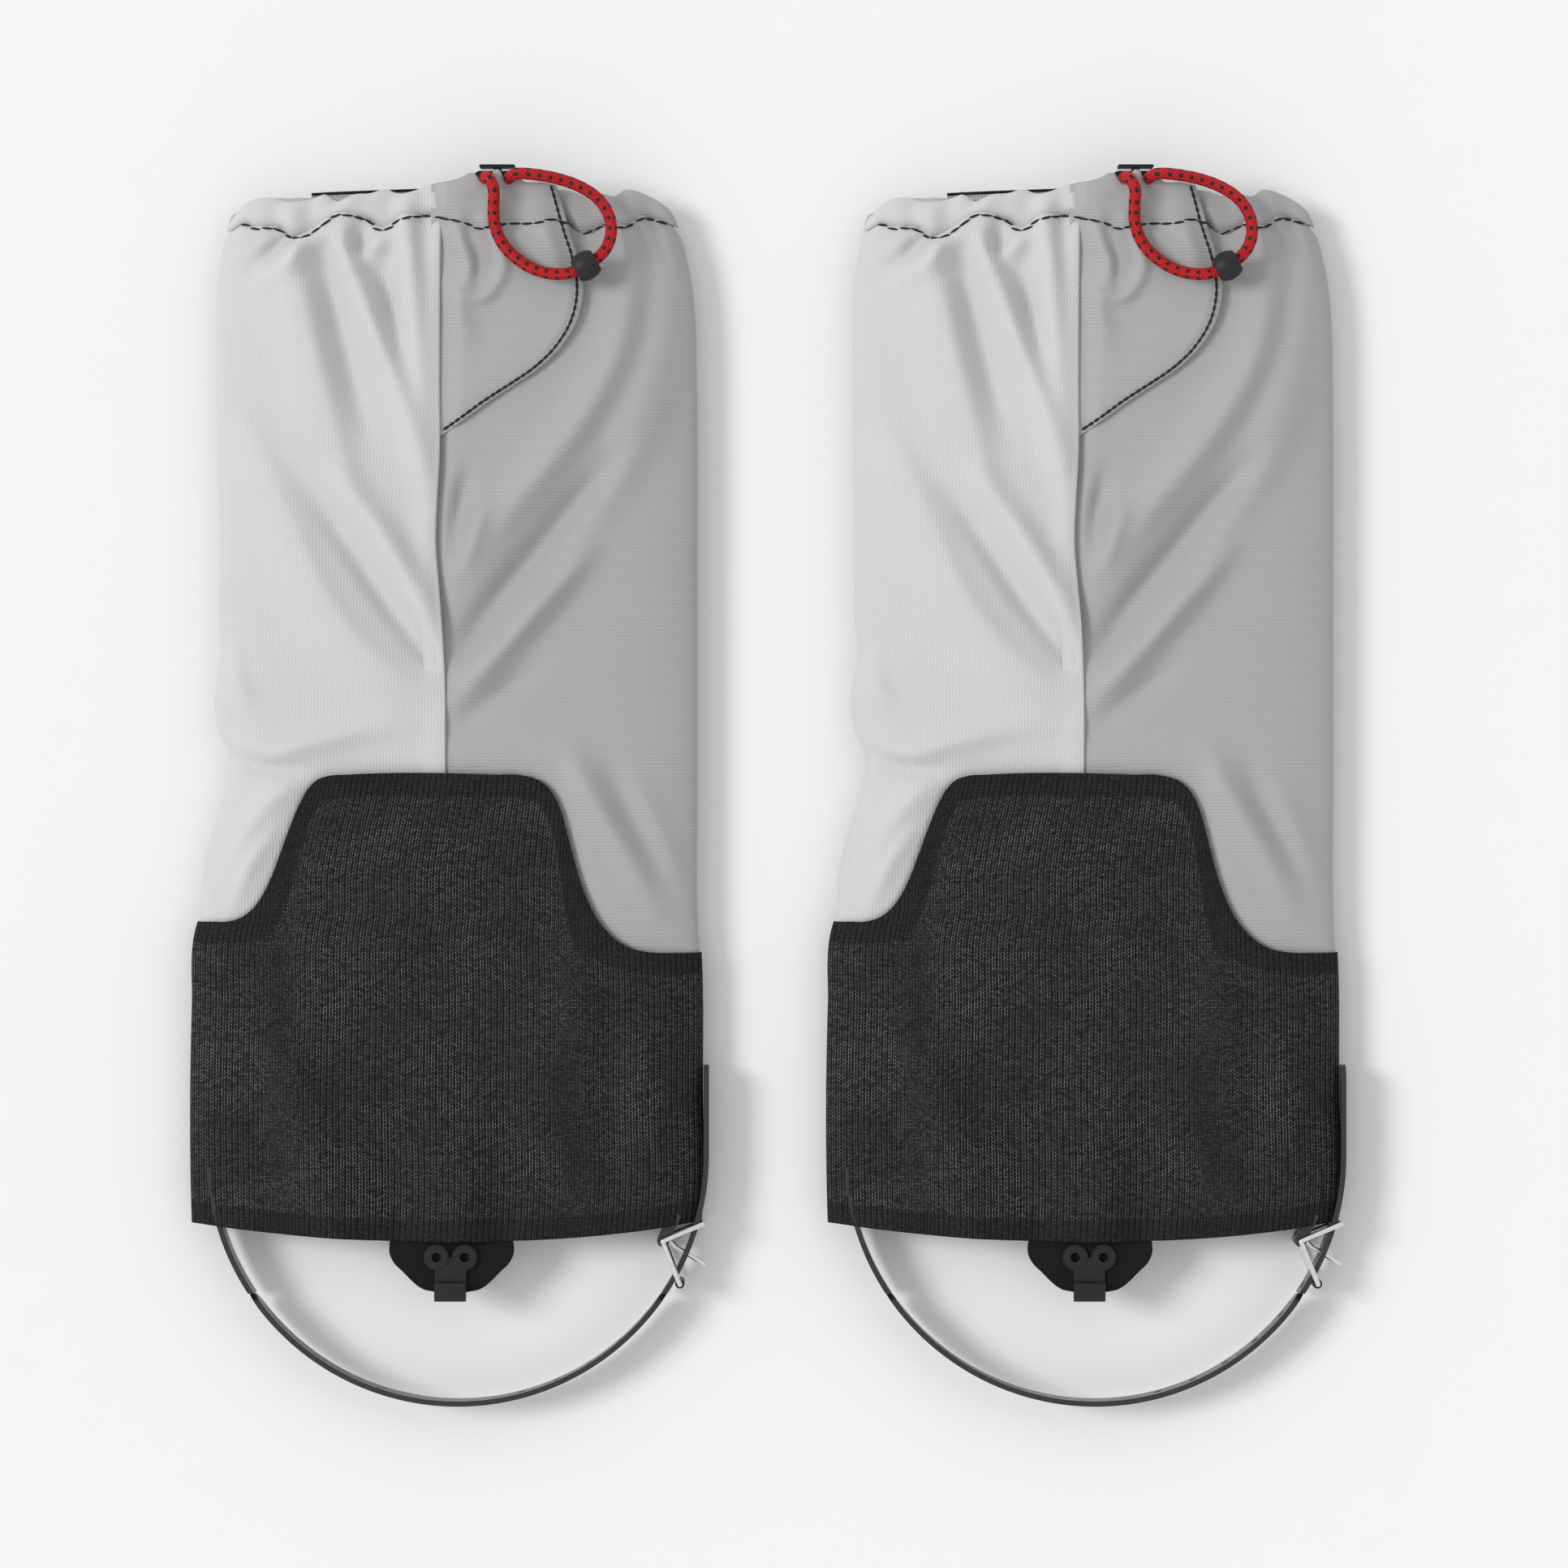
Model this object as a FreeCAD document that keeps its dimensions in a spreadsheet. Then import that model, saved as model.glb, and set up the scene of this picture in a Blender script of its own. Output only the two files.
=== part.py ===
"""A pair of mountaineering gaiters, lying flat with their fronts up.

Each gaiter is a flattened fabric tube that closes round the shin. A stretch guard covers the boot's
laces, a hook below its hem catches the boot lace, and a strap runs under the boot to a roller buckle.
A shock cord in the top casing comes out through a cord lock and hangs in a loop with a bead on it.

Frame: +X right, +Y from the boot end to the calf end, +Z up from the table. Sizes are in millimetres.
One gaiter is drawn about its own origin, which is on its centre line, at the lowest point of the hem,
on the table. The two gaiters are then set side by side about the pair's own centre.
"""
import FreeCAD, Part
import Sketcher
import math
import os

Vector = FreeCAD.Vector
doc = FreeCAD.newDocument("gaiters")

# ---------------------------------------------------------------------------------------------------
# Driving dimensions
# ---------------------------------------------------------------------------------------------------
DIMENSIONS = {
    # the pair
    "gaiter_pitch": 243.75,        # from one gaiter to the next
    # fabric tube: thickness when flat, and its two edges at seven heights
    "tube_thick": 22.0, "table_flat": 0.05,
    "fabric": 1.4,
    "top_height": 401.6,
    "hem_left": -97.2, "hem_right": 94.2,
    "boot_height": 58.0, "boot_left": -98.0, "boot_right": 94.6,
    "shin_height": 120.0, "shin_left": -95.0, "shin_right": 95.4,
    "ankle_height": 178.0, "ankle_left": -84.0, "ankle_right": 95.4,
    "shank_height": 236.0, "shank_left": -87.8, "shank_right": 95.4,
    "calf_height": 330.0, "calf_left": -88.8, "calf_right": 94.4,
    "mouth_left": -84.4, "mouth_right": 83.0,
    "hem_rise": 7.5,               # how far the hem rises from its middle to its sides
    "seam_x": -0.3,                # centre front seam
    # guard: heights of its top edge, and where the edge turns
    "guard_top": 177.8, "guard_left_height": 122.0, "guard_right_height": 110.3,
    "guard_left_foot": -82.0, "guard_left_low": 140.0, "guard_left_low_x": -66.5,
    "guard_left_high": 163.0, "guard_left_high_x": -58.0, "guard_left_head": -45.0,
    "guard_right_head": 30.0, "guard_right_high": 166.0, "guard_right_high_x": 43.0,
    "guard_right_low": 139.0, "guard_right_low_x": 50.5, "guard_right_foot": 78.0,
    "guard_sweep": 24.0, "guard_shoulder": 19.0, "guard_shoulder_right": 14.0, "guard_fall": 38.0,
    # top casing and shock cord
    "casing_height": 13.1, "casing_wall": 7.5,
    "cord_dia": 4.5, "cord_room": 0.3,
    "mouth_slot_left": 33.0, "mouth_slot_right": 47.0, "mouth_slot_sill": 3.3,
    "tape_left": -52.8, "tape_right": 16.0, "tape_height": 24.0, "tape_stand": 2.9, "tape_thick": 1.2,
    # closure flap and its hook and loop pads
    "flap_hinge_x": -2.8, "flap_thick": 1.2, "flap_gap": 2.0,
    # the flap and its pads hang from the top edge: these are drops below it
    "flap_drop": 94.1, "flap_top_right": 42.5, "flap_waist_x": 51.5, "flap_waist_drop": 30.6,
    "flap_bend_x": 44.0, "flap_bend_drop": 59.1, "flap_bend_radius": 26.0,
    "pad_thick": 0.85, "pad_left": 6.0, "pad_right": 40.0, "pad_drop": 17.6, "pad_height": 44.0,
    # cord lock
    "lock_x": 19.3, "lock_width": 18.3, "lock_depth": 8.9, "lock_height": 6.4, "lock_clear": 0.6,
    "lock_pitch": 9.2, "lock_corner": 2.9, "plunger_travel": 1.2, "plunger_gap": 0.1,
    "plunger_cap": 1.2, "cap_inset": 0.5, "well_floor": 1.0,
    "stem_width": 3.0, "stem_depth": 5.0, "stem_length": 3.4,
    "spring_outer": 1.1, "spring_inner": 0.7,
    "lock_tab_width": 4.0, "lock_tab_length": 12.0, "lock_tab_lap": 1.0,
    # bead on the cord
    "bead_dia": 11.2, "bead_length": 9.0, "bead_bore": 5.7, "bead_rim": 1.24,
    # hook tab below the hem
    "tab_left": -21.6, "tab_right": 25.3, "tab_side": 6.5, "tab_drop": 19.7, "tab_thick": 1.6,
    "tab_foot_left": -10.75, "tab_foot_right": 15.0, "tab_root_height": 18.0, "tab_root_foot": 0.2,
    "tab_pivot": -1.0, "tab_gap": 0.5,
    "tab_corner": 3.0, "tab_nose_out": 1.0, "tab_nose_up": 2.0, "tab_nose_radius": 6.0,
    # lace hook and its rivets
    "hook_x": 1.5, "hook_width": 12.0, "hook_plate": 1.0, "ear_dia": 9.8, "ear_pitch": 10.8,
    "ear_drop": 6.0, "hook_bend": 1.8, "hook_drop": 22.8, "lip_height": 7.2, "lip_corner": 1.8,
    "rivet_head": 8.7, "rivet_head_thick": 0.8, "rivet_shank": 4.9, "rivet_bore": 3.6, "rivet_floor": 0.6,
    "rivet_room": 0.05, "washer_dia": 8.0, "washer_thick": 0.8,
    # instep strap
    "strap_radius": 96.0, "strap_centre_x": 4.0, "strap_centre_y": 32.6, "strap_thick": 2.0,
    "strap_width": 13.0, "fold_y": -27.0, "fold_gap": 0.3, "strap_root_height": 28.0,
    "tail_height": 67.2, "tail_lap": 0.5,
    "strap_hole": 3.2, "hole_first": -75.0, "hole_step": 8.6, "hole_count": 9.0,
    "tongue_hole": 6.0,
    # roller buckle
    "wire_dia": 2.0, "frame_room": 4.2, "hinge_bar_x": 82.5, "hinge_bar_y": 0.0,
    "roller_angle": -30.0, "roller_dia": 3.6, "roller_room": 0.06, "roller_length": 13.6,
    "keeper_angle": -15.5, "bar_clear": 0.25,
    "tongue_dia": 1.8, "tongue_reach": 8.0, "tongue_eye": 4.4, "tongue_width": 3.0,
    "tongue_bend": 4.5, "tongue_rise": 0.7, "tongue_sink": 0.6,
    "tab_eye_room": 0.1, "notch_reach_room": 1.3, "notch_side_room": 0.4,
    "buckle_tab_half": 2.3, "buckle_tab_x": 87.4, "buckle_tab_y": 10.5,
    "patch_low": 8.6, "patch_high": 27.0, "patch_width": 11.0, "strap_patch_x": -64.5,
    "buckle_patch_x": 90.3,
}

sheet = doc.addObject("Spreadsheet::Sheet", "dims")
for row, (alias, number) in enumerate(DIMENSIONS.items(), start=1):
    sheet.set(f"A{row}", alias)
    sheet.set(f"B{row}", repr(number))
    sheet.setAlias(f"B{row}", alias)
doc.recompute()


class Size:
    """A number worked out from the sheet, together with the expression that says how."""

    def __init__(self, value, text=None):
        self.value = float(value)
        self.text = text if text is not None else repr(float(value))

    @staticmethod
    def of(thing):
        return thing if isinstance(thing, Size) else Size(thing)

    def __add__(self, other):
        other = Size.of(other)
        return Size(self.value + other.value, f"({self.text} + {other.text})")

    def __sub__(self, other):
        other = Size.of(other)
        return Size(self.value - other.value, f"({self.text} - {other.text})")

    def __mul__(self, other):
        other = Size.of(other)
        return Size(self.value * other.value, f"({self.text} * {other.text})")

    def __truediv__(self, other):
        other = Size.of(other)
        return Size(self.value / other.value, f"({self.text} / {other.text})")

    def __neg__(self):
        return Size(-self.value, f"(0 - {self.text})")

    def __radd__(self, other):
        return Size.of(other) + self

    def __rsub__(self, other):
        return Size.of(other) - self

    def __rmul__(self, other):
        return Size.of(other) * self


def dim(alias):
    return Size(sheet.get(alias), f"dims.{alias}")


def root(size):
    return Size(math.sqrt(size.value), f"sqrt({size.text})")


def cosine(angle):
    return Size(math.cos(math.radians(angle.value)), f"cos({angle.text})")


def sine(angle):
    return Size(math.sin(math.radians(angle.value)), f"sin({angle.text})")


ZERO = Size(0)
HALF = dim("tube_thick") / 2          # height of the tube's middle plane above the table
FRONT = dim("tube_thick")             # height of the front face
BEYOND = Size(20)                     # how far a cutting solid runs past what it cuts
PAST = Size(1)                        # the same, for a small cut
HAIR = Size(0.01)                     # keeps two cut faces out of one plane

# ---------------------------------------------------------------------------------------------------
# Helpers: one for each kind of feature
# ---------------------------------------------------------------------------------------------------
seats = {}                            # where each feature's own zero lies, by feature name


def seat(feature, x=ZERO, y=ZERO, z=ZERO):
    """Put a feature's own zero at a point of the gaiter."""
    seats[feature.Name] = [Size.of(x), Size.of(y), Size.of(z)]
    for axis, size in zip("xyz", seats[feature.Name]):
        feature.setExpression(f"Placement.Base.{axis}", size.text)
    return feature


def block(name, low, high):
    """A box from its lowest to its highest corner."""
    low = [Size.of(size) for size in low]
    high = [Size.of(size) for size in high]
    feature = doc.addObject("Part::Box", name)
    for side, a, b in zip(("Length", "Width", "Height"), low, high):
        feature.setExpression(side, (b - a).text)
    return seat(feature, *low)


TURN = {
    "X": FreeCAD.Rotation(Vector(0, 1, 0), 90),
    "Y": FreeCAD.Rotation(Vector(1, 0, 0), -90),
    "Z": FreeCAD.Rotation(),
}


def rod(name, diameter, length, start, axis="Z"):
    """A round bar along an axis."""
    feature = doc.addObject("Part::Cylinder", name)
    feature.setExpression("Radius", (Size.of(diameter) / 2).text)
    feature.setExpression("Height", Size.of(length).text)
    feature.Placement = FreeCAD.Placement(Vector(), TURN[axis])
    return seat(feature, *start)


def arc_between(start, end, radius):
    """The shorter arc from start to end; a positive radius bulges to the right of the way it goes."""
    chord = end - start
    across = Vector(chord.y, -chord.x, 0).normalize()
    rise = math.sqrt(radius ** 2 - (chord.Length / 2) ** 2)
    centre = start + chord / 2 - across * math.copysign(rise, radius)
    top = centre + across * radius
    return Part.Arc(start, top, end)


def outline(name, start, steps, plane="XY", offset=ZERO):
    """A closed sketch. Each step is a point, or a point and the radius of the arc that leads to it."""
    sketch = doc.addObject("Sketcher::SketchObject", name)
    if plane == "XZ":
        sketch.Placement = FreeCAD.Placement(Vector(), FreeCAD.Rotation(Vector(1, 0, 0), 90))
        seat(sketch, y=offset)
    elif plane == "YZ":
        sketch.Placement = FreeCAD.Placement(Vector(), FreeCAD.Rotation(Vector(1, 1, 1), 120))
        seat(sketch, x=offset)
    else:
        seat(sketch, z=offset)

    def pin(index, vertex, point):
        for kind, size in zip(("DistanceX", "DistanceY"), point):
            number = sketch.addConstraint(Sketcher.Constraint(kind, -1, 1, index, vertex, size.value))
            sketch.setExpression(f"Constraints[{number}]", size.text)

    here = [Size.of(size) for size in start]
    for step in steps:
        there = [Size.of(size) for size in step[:2]]
        a = Vector(here[0].value, here[1].value, 0)
        b = Vector(there[0].value, there[1].value, 0)
        if len(step) == 2:
            index = sketch.addGeometry(Part.LineSegment(a, b), False)
            first, last = 1, 2
        else:
            radius = Size.of(step[2])
            arc = arc_between(a, b, radius.value)
            index = sketch.addGeometry(arc, False)
            begins = sketch.getPoint(index, 1).distanceToPoint(a) < 1e-6
            first, last = (1, 2) if begins else (2, 1)
            size = radius if radius.value > 0 else -radius
            number = sketch.addConstraint(Sketcher.Constraint("Radius", index, size.value))
            sketch.setExpression(f"Constraints[{number}]", size.text)
        pin(index, first, here)
        pin(index, last, there)
        here = there
    return sketch


def stadium(name, left, right, low, high, plane="XZ", offset=ZERO):
    """A flat tube's cross-section: two straight sides joined by round ends."""
    r = (Size.of(high) - low) / 2
    middle = low + r
    return outline(name, (left + r, high), [
        (left, middle, r), (left + r, low, r), (right - r, low),
        (right, middle, r), (right - r, high, r), (left + r, high)], plane, offset)


def extrude(name, sketch, length):
    """A sketch pushed out along its own normal."""
    feature = doc.addObject("Part::Extrusion", name)
    feature.Base = sketch
    feature.DirMode = "Normal"
    feature.Solid = True
    feature.setExpression("LengthFwd", Size.of(length).text)
    return feature


def loft(name, sections):
    feature = doc.addObject("Part::Loft", name)
    feature.Sections = sections
    feature.Solid = True
    feature.Ruled = False
    return feature


def cut(name, base, tool):
    feature = doc.addObject("Part::Cut", name)
    feature.Base = base
    feature.Tool = tool
    return feature


def common(name, *shapes):
    feature = doc.addObject("Part::MultiCommon", name)
    feature.Shapes = list(shapes)
    return feature


def fuse(name, *shapes):
    feature = doc.addObject("Part::MultiFuse", name)
    feature.Shapes = list(shapes)
    feature.Refine = True
    return feature


def own_shape(name, shape):
    feature = doc.addObject("Part::Feature", name)
    feature.Shape = shape
    return feature


pieces = {}                           # the left gaiter's sub-parts, by the name a person would use


def piece(word, feature):
    pieces[word] = feature
    return feature


# ---------------------------------------------------------------------------------------------------
# Fabric tube
# ---------------------------------------------------------------------------------------------------
BELOW_HEM = Size(-4)                  # the tube is made this far below the hem, and the hem is cut from it


def tube_sections(tag, inset, overrun):
    """The tube's cross-sections from hem to mouth, each inset from the outside."""
    heights = [
        ("hem", BELOW_HEM - overrun), ("boot", dim("boot_height")), ("shin", dim("shin_height")),
        ("ankle", dim("ankle_height")), ("shank", dim("shank_height")), ("calf", dim("calf_height")),
        ("mouth", dim("top_height") + overrun)]
    return [
        stadium(f"{tag}_{place}", dim(f"{place}_left") + inset, dim(f"{place}_right") - inset,
                inset - dim("table_flat"), FRONT - inset, offset=height)
        for place, height in heights]


tube_outer = loft("tube_outer", tube_sections("outer", ZERO, ZERO))
tube_inner = loft("tube_inner", tube_sections("inner", dim("fabric"), PAST))
tube_shell = cut("tube_shell", tube_outer, tube_inner)

# The hem is cut on a long arc, lowest at the centre.
HEM_REACH = Size(110)
HEM_RADIUS = (HEM_REACH * HEM_REACH + dim("hem_rise") * dim("hem_rise")) / (dim("hem_rise") * 2)
hem_cut = extrude("hem_cut", outline(
    "hem_line", (-HEM_REACH, dim("hem_rise")),
    [(HEM_REACH, dim("hem_rise"), HEM_RADIUS), (HEM_REACH, -BEYOND), (-HEM_REACH, -BEYOND),
     (-HEM_REACH, dim("hem_rise"))], offset=-BEYOND), BEYOND * 3)
trimmed_shell = cut("trimmed_shell", tube_shell, hem_cut)

FAR = Size(130)
casing_low = dim("top_height") - dim("casing_height")
front_room = block("front_room", (-FAR, -BEYOND, HALF), (FAR, casing_low, FRONT + BEYOND))
# The table presses the back flat: the tube's lowest sliver is left out of every piece.
back_room = block("back_room", (-FAR, -BEYOND, ZERO), (FAR, casing_low, HALF))

# The guard's top edge is high over the laces and drops in two curves to the sides.
guard_front_room = extrude("guard_front_room", outline(
    "guard_front_edge", (-FAR, dim("guard_left_height")), [
        (dim("guard_left_foot"), dim("guard_left_height")),
        (dim("guard_left_low_x"), dim("guard_left_low"), dim("guard_sweep")),
        (dim("guard_left_high_x"), dim("guard_left_high")),
        (dim("guard_left_head"), dim("guard_top"), -dim("guard_shoulder")),
        (dim("guard_right_head"), dim("guard_top")),
        (dim("guard_right_high_x"), dim("guard_right_high"), -dim("guard_shoulder_right")),
        (dim("guard_right_low_x"), dim("guard_right_low")),
        (dim("guard_right_foot"), dim("guard_right_height"), dim("guard_fall")),
        (FAR, dim("guard_right_height")), (FAR, -BEYOND), (-FAR, -BEYOND),
        (-FAR, dim("guard_left_height"))], offset=-BEYOND), BEYOND * 3)
guard_back_room = extrude("guard_back_room", outline(
    "guard_back_edge", (-FAR, dim("guard_left_height")), [
        (dim("guard_left_foot"), dim("guard_left_height")),
        (dim("guard_right_foot"), dim("guard_right_height")),
        (FAR, dim("guard_right_height")), (FAR, -BEYOND), (-FAR, -BEYOND),
        (-FAR, dim("guard_left_height"))], offset=-BEYOND), BEYOND * 3)

piece("guard_front", common("guard_front", trimmed_shell, front_room, guard_front_room))
piece("guard_back", common("guard_back", trimmed_shell, back_room, guard_back_room))

front_fabric = cut("front_fabric", common("front_half", trimmed_shell, front_room), guard_front_room)
over_room = block("over_room", (-FAR, -BEYOND, ZERO), (dim("seam_x"), dim("top_height"), FRONT + BEYOND))
under_room = block("under_room", (dim("seam_x"), -BEYOND, ZERO), (FAR, dim("top_height"), FRONT + BEYOND))
piece("overlap_panel", common("overlap_panel", front_fabric, over_room))
piece("underlap_panel", common("underlap_panel", front_fabric, under_room))
piece("back_panel", cut("back_panel", common("back_half", trimmed_shell, back_room), guard_back_room))

# ---------------------------------------------------------------------------------------------------
# Top casing, with the shock cord in its channel, and the stiff tape inside its back
# ---------------------------------------------------------------------------------------------------
wall = dim("casing_wall")
casing_room = block("casing_room", (-FAR, casing_low, ZERO), (FAR, dim("top_height"), FRONT + BEYOND))
casing_mouth = extrude("casing_mouth", stadium(
    "mouth_section", dim("mouth_left") + wall, dim("mouth_right") - wall, wall, FRONT - wall,
    offset=dim("top_height") + BEYOND), BEYOND * 3)
cord_slot = block(
    "cord_slot", (dim("mouth_slot_left"), casing_low + dim("mouth_slot_sill"), FRONT - wall - PAST),
    (dim("mouth_slot_right"), dim("top_height") + BEYOND, FRONT - dim("fabric")))


def hem_cord_path():
    """Round the casing from one side of the slot to the other, along the middle of its wall."""
    inset = wall.value / 2
    level = casing_low.value + dim("casing_height").value / 2
    low, high = inset, FRONT.value - inset
    r = (high - low) / 2
    left = dim("mouth_left").value + inset + r
    right = dim("mouth_right").value - inset - r

    def at(x, z):
        return Vector(x, level, z)

    return Part.Wire([
        Part.LineSegment(at(dim("mouth_slot_right").value, high), at(right, high)).toShape(),
        Part.Arc(at(right, high), at(right + r, low + r), at(right, low)).toShape(),
        Part.LineSegment(at(right, low), at(left, low)).toShape(),
        Part.Arc(at(left, low), at(left - r, low + r), at(left, high)).toShape(),
        Part.LineSegment(at(left, high), at(dim("mouth_slot_left").value, high)).toShape()])


def tube_along(path, diameter):
    """A round solid along a smooth path, checked against its section times its length."""
    edge = path.OrderedEdges[0]
    start = edge.valueAt(edge.FirstParameter)
    ring = Part.Wire(Part.Circle(start, edge.tangentAt(edge.FirstParameter), diameter / 2).toShape())
    solid = path.makePipeShell([ring], True, False)
    expected = math.pi * diameter ** 2 / 4 * path.Length
    if abs(abs(solid.Volume) - expected) > 0.01 * expected:
        raise ValueError(f"cord volume is {solid.Volume:.0f}, not {expected:.0f}")
    return solid


cord_dia = dim("cord_dia").value
channel_dia = cord_dia + 2 * dim("cord_room").value
cord_channel = own_shape("cord_channel", tube_along(hem_cord_path(), channel_dia))
piece("hem_cord", own_shape("hem_cord", tube_along(hem_cord_path(), cord_dia)))
casing_ring = cut("casing_ring", common("casing_blank", tube_outer, casing_room), casing_mouth)
casing_slotted = cut("casing_slotted", casing_ring, cord_slot)
piece("top_casing", cut("top_casing", casing_slotted, cord_channel))
piece("back_tape", block(
    "back_tape", (dim("tape_left"), dim("top_height") + dim("tape_stand") - dim("tape_height"), wall),
    (dim("tape_right"), dim("top_height") + dim("tape_stand"), wall + dim("tape_thick"))))

# ---------------------------------------------------------------------------------------------------
# Closure flap, hinged on the centre seam, and its hook and loop pads
# ---------------------------------------------------------------------------------------------------
flap_low = FRONT + dim("flap_gap")
flap_foot = dim("top_height") - dim("flap_drop")
pad_high = dim("top_height") - dim("pad_drop")
pad_low = pad_high - dim("pad_height")
piece("closure_flap", extrude("closure_flap", outline(
    "flap_edge", (dim("flap_hinge_x"), flap_foot), [
        (dim("flap_bend_x"), dim("top_height") - dim("flap_bend_drop")),
        (dim("flap_waist_x"), dim("top_height") - dim("flap_waist_drop"), dim("flap_bend_radius")),
        (dim("flap_top_right"), dim("top_height")),
        (dim("flap_hinge_x"), dim("top_height")),
        (dim("flap_hinge_x"), flap_foot)], offset=flap_low), dim("flap_thick")))
piece("flap_hook_pad", block(
    "flap_hook_pad", (dim("pad_left"), pad_low, flap_low - dim("pad_thick")),
    (dim("pad_right"), pad_high, flap_low)))
piece("panel_loop_pad", block(
    "panel_loop_pad", (dim("pad_left"), pad_low, FRONT),
    (dim("pad_right"), pad_high, FRONT + dim("pad_thick"))))

# ---------------------------------------------------------------------------------------------------
# Cord lock: an oval body with two cord holes, a plunger pushed out by a spring, and a sewn tab
# ---------------------------------------------------------------------------------------------------
lock_low = dim("top_height") + dim("lock_clear")
lock_high = lock_low + dim("lock_height")
lock_front = flap_low - dim("tab_thick")
lock_back = lock_front - dim("lock_depth")
lock_left = dim("lock_x") - dim("lock_width") / 2
lock_right = dim("lock_x") + dim("lock_width") / 2
lock_axis_y = lock_low + dim("lock_height") / 2
lock_middle_z = lock_back + dim("lock_depth") / 2
corner = dim("lock_corner")
lock_blank = extrude("lock_blank", outline(
    "lock_outline", (lock_left + corner, lock_low), [
        (lock_right - corner, lock_low), (lock_right, lock_low + corner, corner),
        (lock_right, lock_high - corner), (lock_right - corner, lock_high, corner),
        (lock_left + corner, lock_high), (lock_left, lock_high - corner, corner),
        (lock_left, lock_low + corner), (lock_left + corner, lock_low, corner)], offset=lock_back),
    dim("lock_depth"))
room = dim("plunger_gap")
well_low = lock_low + dim("well_floor")
stem_low = lock_high - dim("stem_length") + dim("plunger_travel")
stem_left = dim("lock_x") - dim("stem_width") / 2
stem_right = dim("lock_x") + dim("stem_width") / 2
stem_back = lock_middle_z - dim("stem_depth") / 2
stem_front = lock_middle_z + dim("stem_depth") / 2
lock_tools = [
    rod(f"cord_hole_{side}", dim("cord_dia") + dim("cord_room"), dim("lock_depth") + PAST * 2,
        (dim("lock_x") + dim("lock_pitch") * sign / 2, lock_axis_y, lock_back - PAST))
    for side, sign in (("left", -1), ("right", 1))]
lock_tools.append(block(
    "stem_slot", (stem_left - room, stem_low - dim("plunger_travel") - room, stem_back - room),
    (stem_right + room, lock_high + PAST, stem_front + room)))
lock_tools.append(rod("spring_well", dim("spring_outer") * 2 + room * 2, dim("lock_height"),
                      (dim("lock_x"), well_low, lock_middle_z), "Y"))
piece("cord_lock_body", cut("cord_lock_body", lock_blank, fuse("lock_cuts", *lock_tools)))

cap_low = lock_high + dim("plunger_travel") + room
cap_inset = dim("cap_inset")
cap_end = dim("plunger_cap") / 2
plunger_cap = extrude("plunger_cap", outline(
    "cap_outline", (lock_left + corner, cap_low), [
        (lock_right - corner, cap_low), (lock_right - corner + cap_end, cap_low + cap_end, cap_end),
        (lock_right - corner, cap_low + dim("plunger_cap"), cap_end),
        (lock_left + corner, cap_low + dim("plunger_cap")),
        (lock_left + corner - cap_end, cap_low + cap_end, cap_end), (lock_left + corner, cap_low, cap_end)],
    offset=lock_back + cap_inset), dim("lock_depth") - cap_inset * 2)
plunger_stem = block(
    "plunger_stem", (stem_left, stem_low, stem_back), (stem_right, cap_low + cap_end, stem_front))
piece("cord_lock_plunger", fuse("cord_lock_plunger", plunger_cap, plunger_stem))

spring_length = stem_low - room * 2 - well_low
piece("cord_lock_spring", cut(
    "cord_lock_spring",
    rod("spring_outside", dim("spring_outer") * 2, spring_length,
        (dim("lock_x"), well_low + room, lock_middle_z), "Y"),
    rod("spring_inside", dim("spring_inner") * 2, spring_length + PAST * 2,
        (dim("lock_x"), well_low + room - PAST, lock_middle_z), "Y")))
piece("cord_lock_tab", block(
    "cord_lock_tab",
    (dim("lock_x") - dim("lock_tab_width") / 2, dim("top_height") - dim("lock_tab_length"), lock_front),
    (dim("lock_x") + dim("lock_tab_width") / 2, lock_high - dim("lock_tab_lap"), flap_low)))

# ---------------------------------------------------------------------------------------------------
# Drawcord loop: out of one hole of the lock, down over the flap, through the bead and back
# ---------------------------------------------------------------------------------------------------
# Its route, in millimetres from the gaiter's own origin.
LOOP_ROUTE = [
    (14.7, 405.4, 22.4), (15.2, 406.6, 29.2), (18.8, 401.4, 32.0), (18.2, 394.2, 29.6),
    (18.4, 387.4, 28.2), (21.2, 380.4, 27.8), (26.6, 374.6, 28.0), (33.6, 370.2, 28.6),
    (41.2, 368.3, 29.8), (48.6, 368.8, 31.0), (58.4, 374.4, 31.4), (62.3, 379.7, 30.6),
    (63.4, 386.2, 29.4), (61.7, 392.8, 28.4), (57.4, 398.3, 27.8), (50.9, 402.3, 27.7),
    (43.4, 404.9, 28.2), (35.6, 406.3, 29.4), (27.4, 407.0, 30.4), (24.1, 405.8, 27.2),
    (23.9, 405.4, 22.4)]
ARC_SHARE = 0.45                      # share of the shorter run that an arc takes up
BEAD_RUN = 9                          # the run that the bead is threaded on


def rounded_path(route):
    """Straight runs joined by arcs as large as the runs allow, and the smallest radius."""
    points = [Vector(*point) for point in route]
    edges, radii, here = [], [], points[0]
    for before, at, after in zip(points, points[1:], points[2:]):
        come, go = (at - before), (after - at)
        turn = come.getAngle(go)
        reach = ARC_SHARE * min(come.Length, go.Length)
        radii.append(reach / math.tan(turn / 2))
        come, go = come.normalize(), go.normalize()
        begin, end = at - come * reach, at + go * reach
        middle = at + (go - come).normalize() * radii[-1] * (1 / math.cos(turn / 2) - 1)
        edges.append(Part.LineSegment(here, begin).toShape())
        edges.append(Part.Arc(begin, middle, end).toShape())
        here = end
    edges.append(Part.LineSegment(here, points[-1]).toShape())
    return Part.Wire(edges), radii


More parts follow.
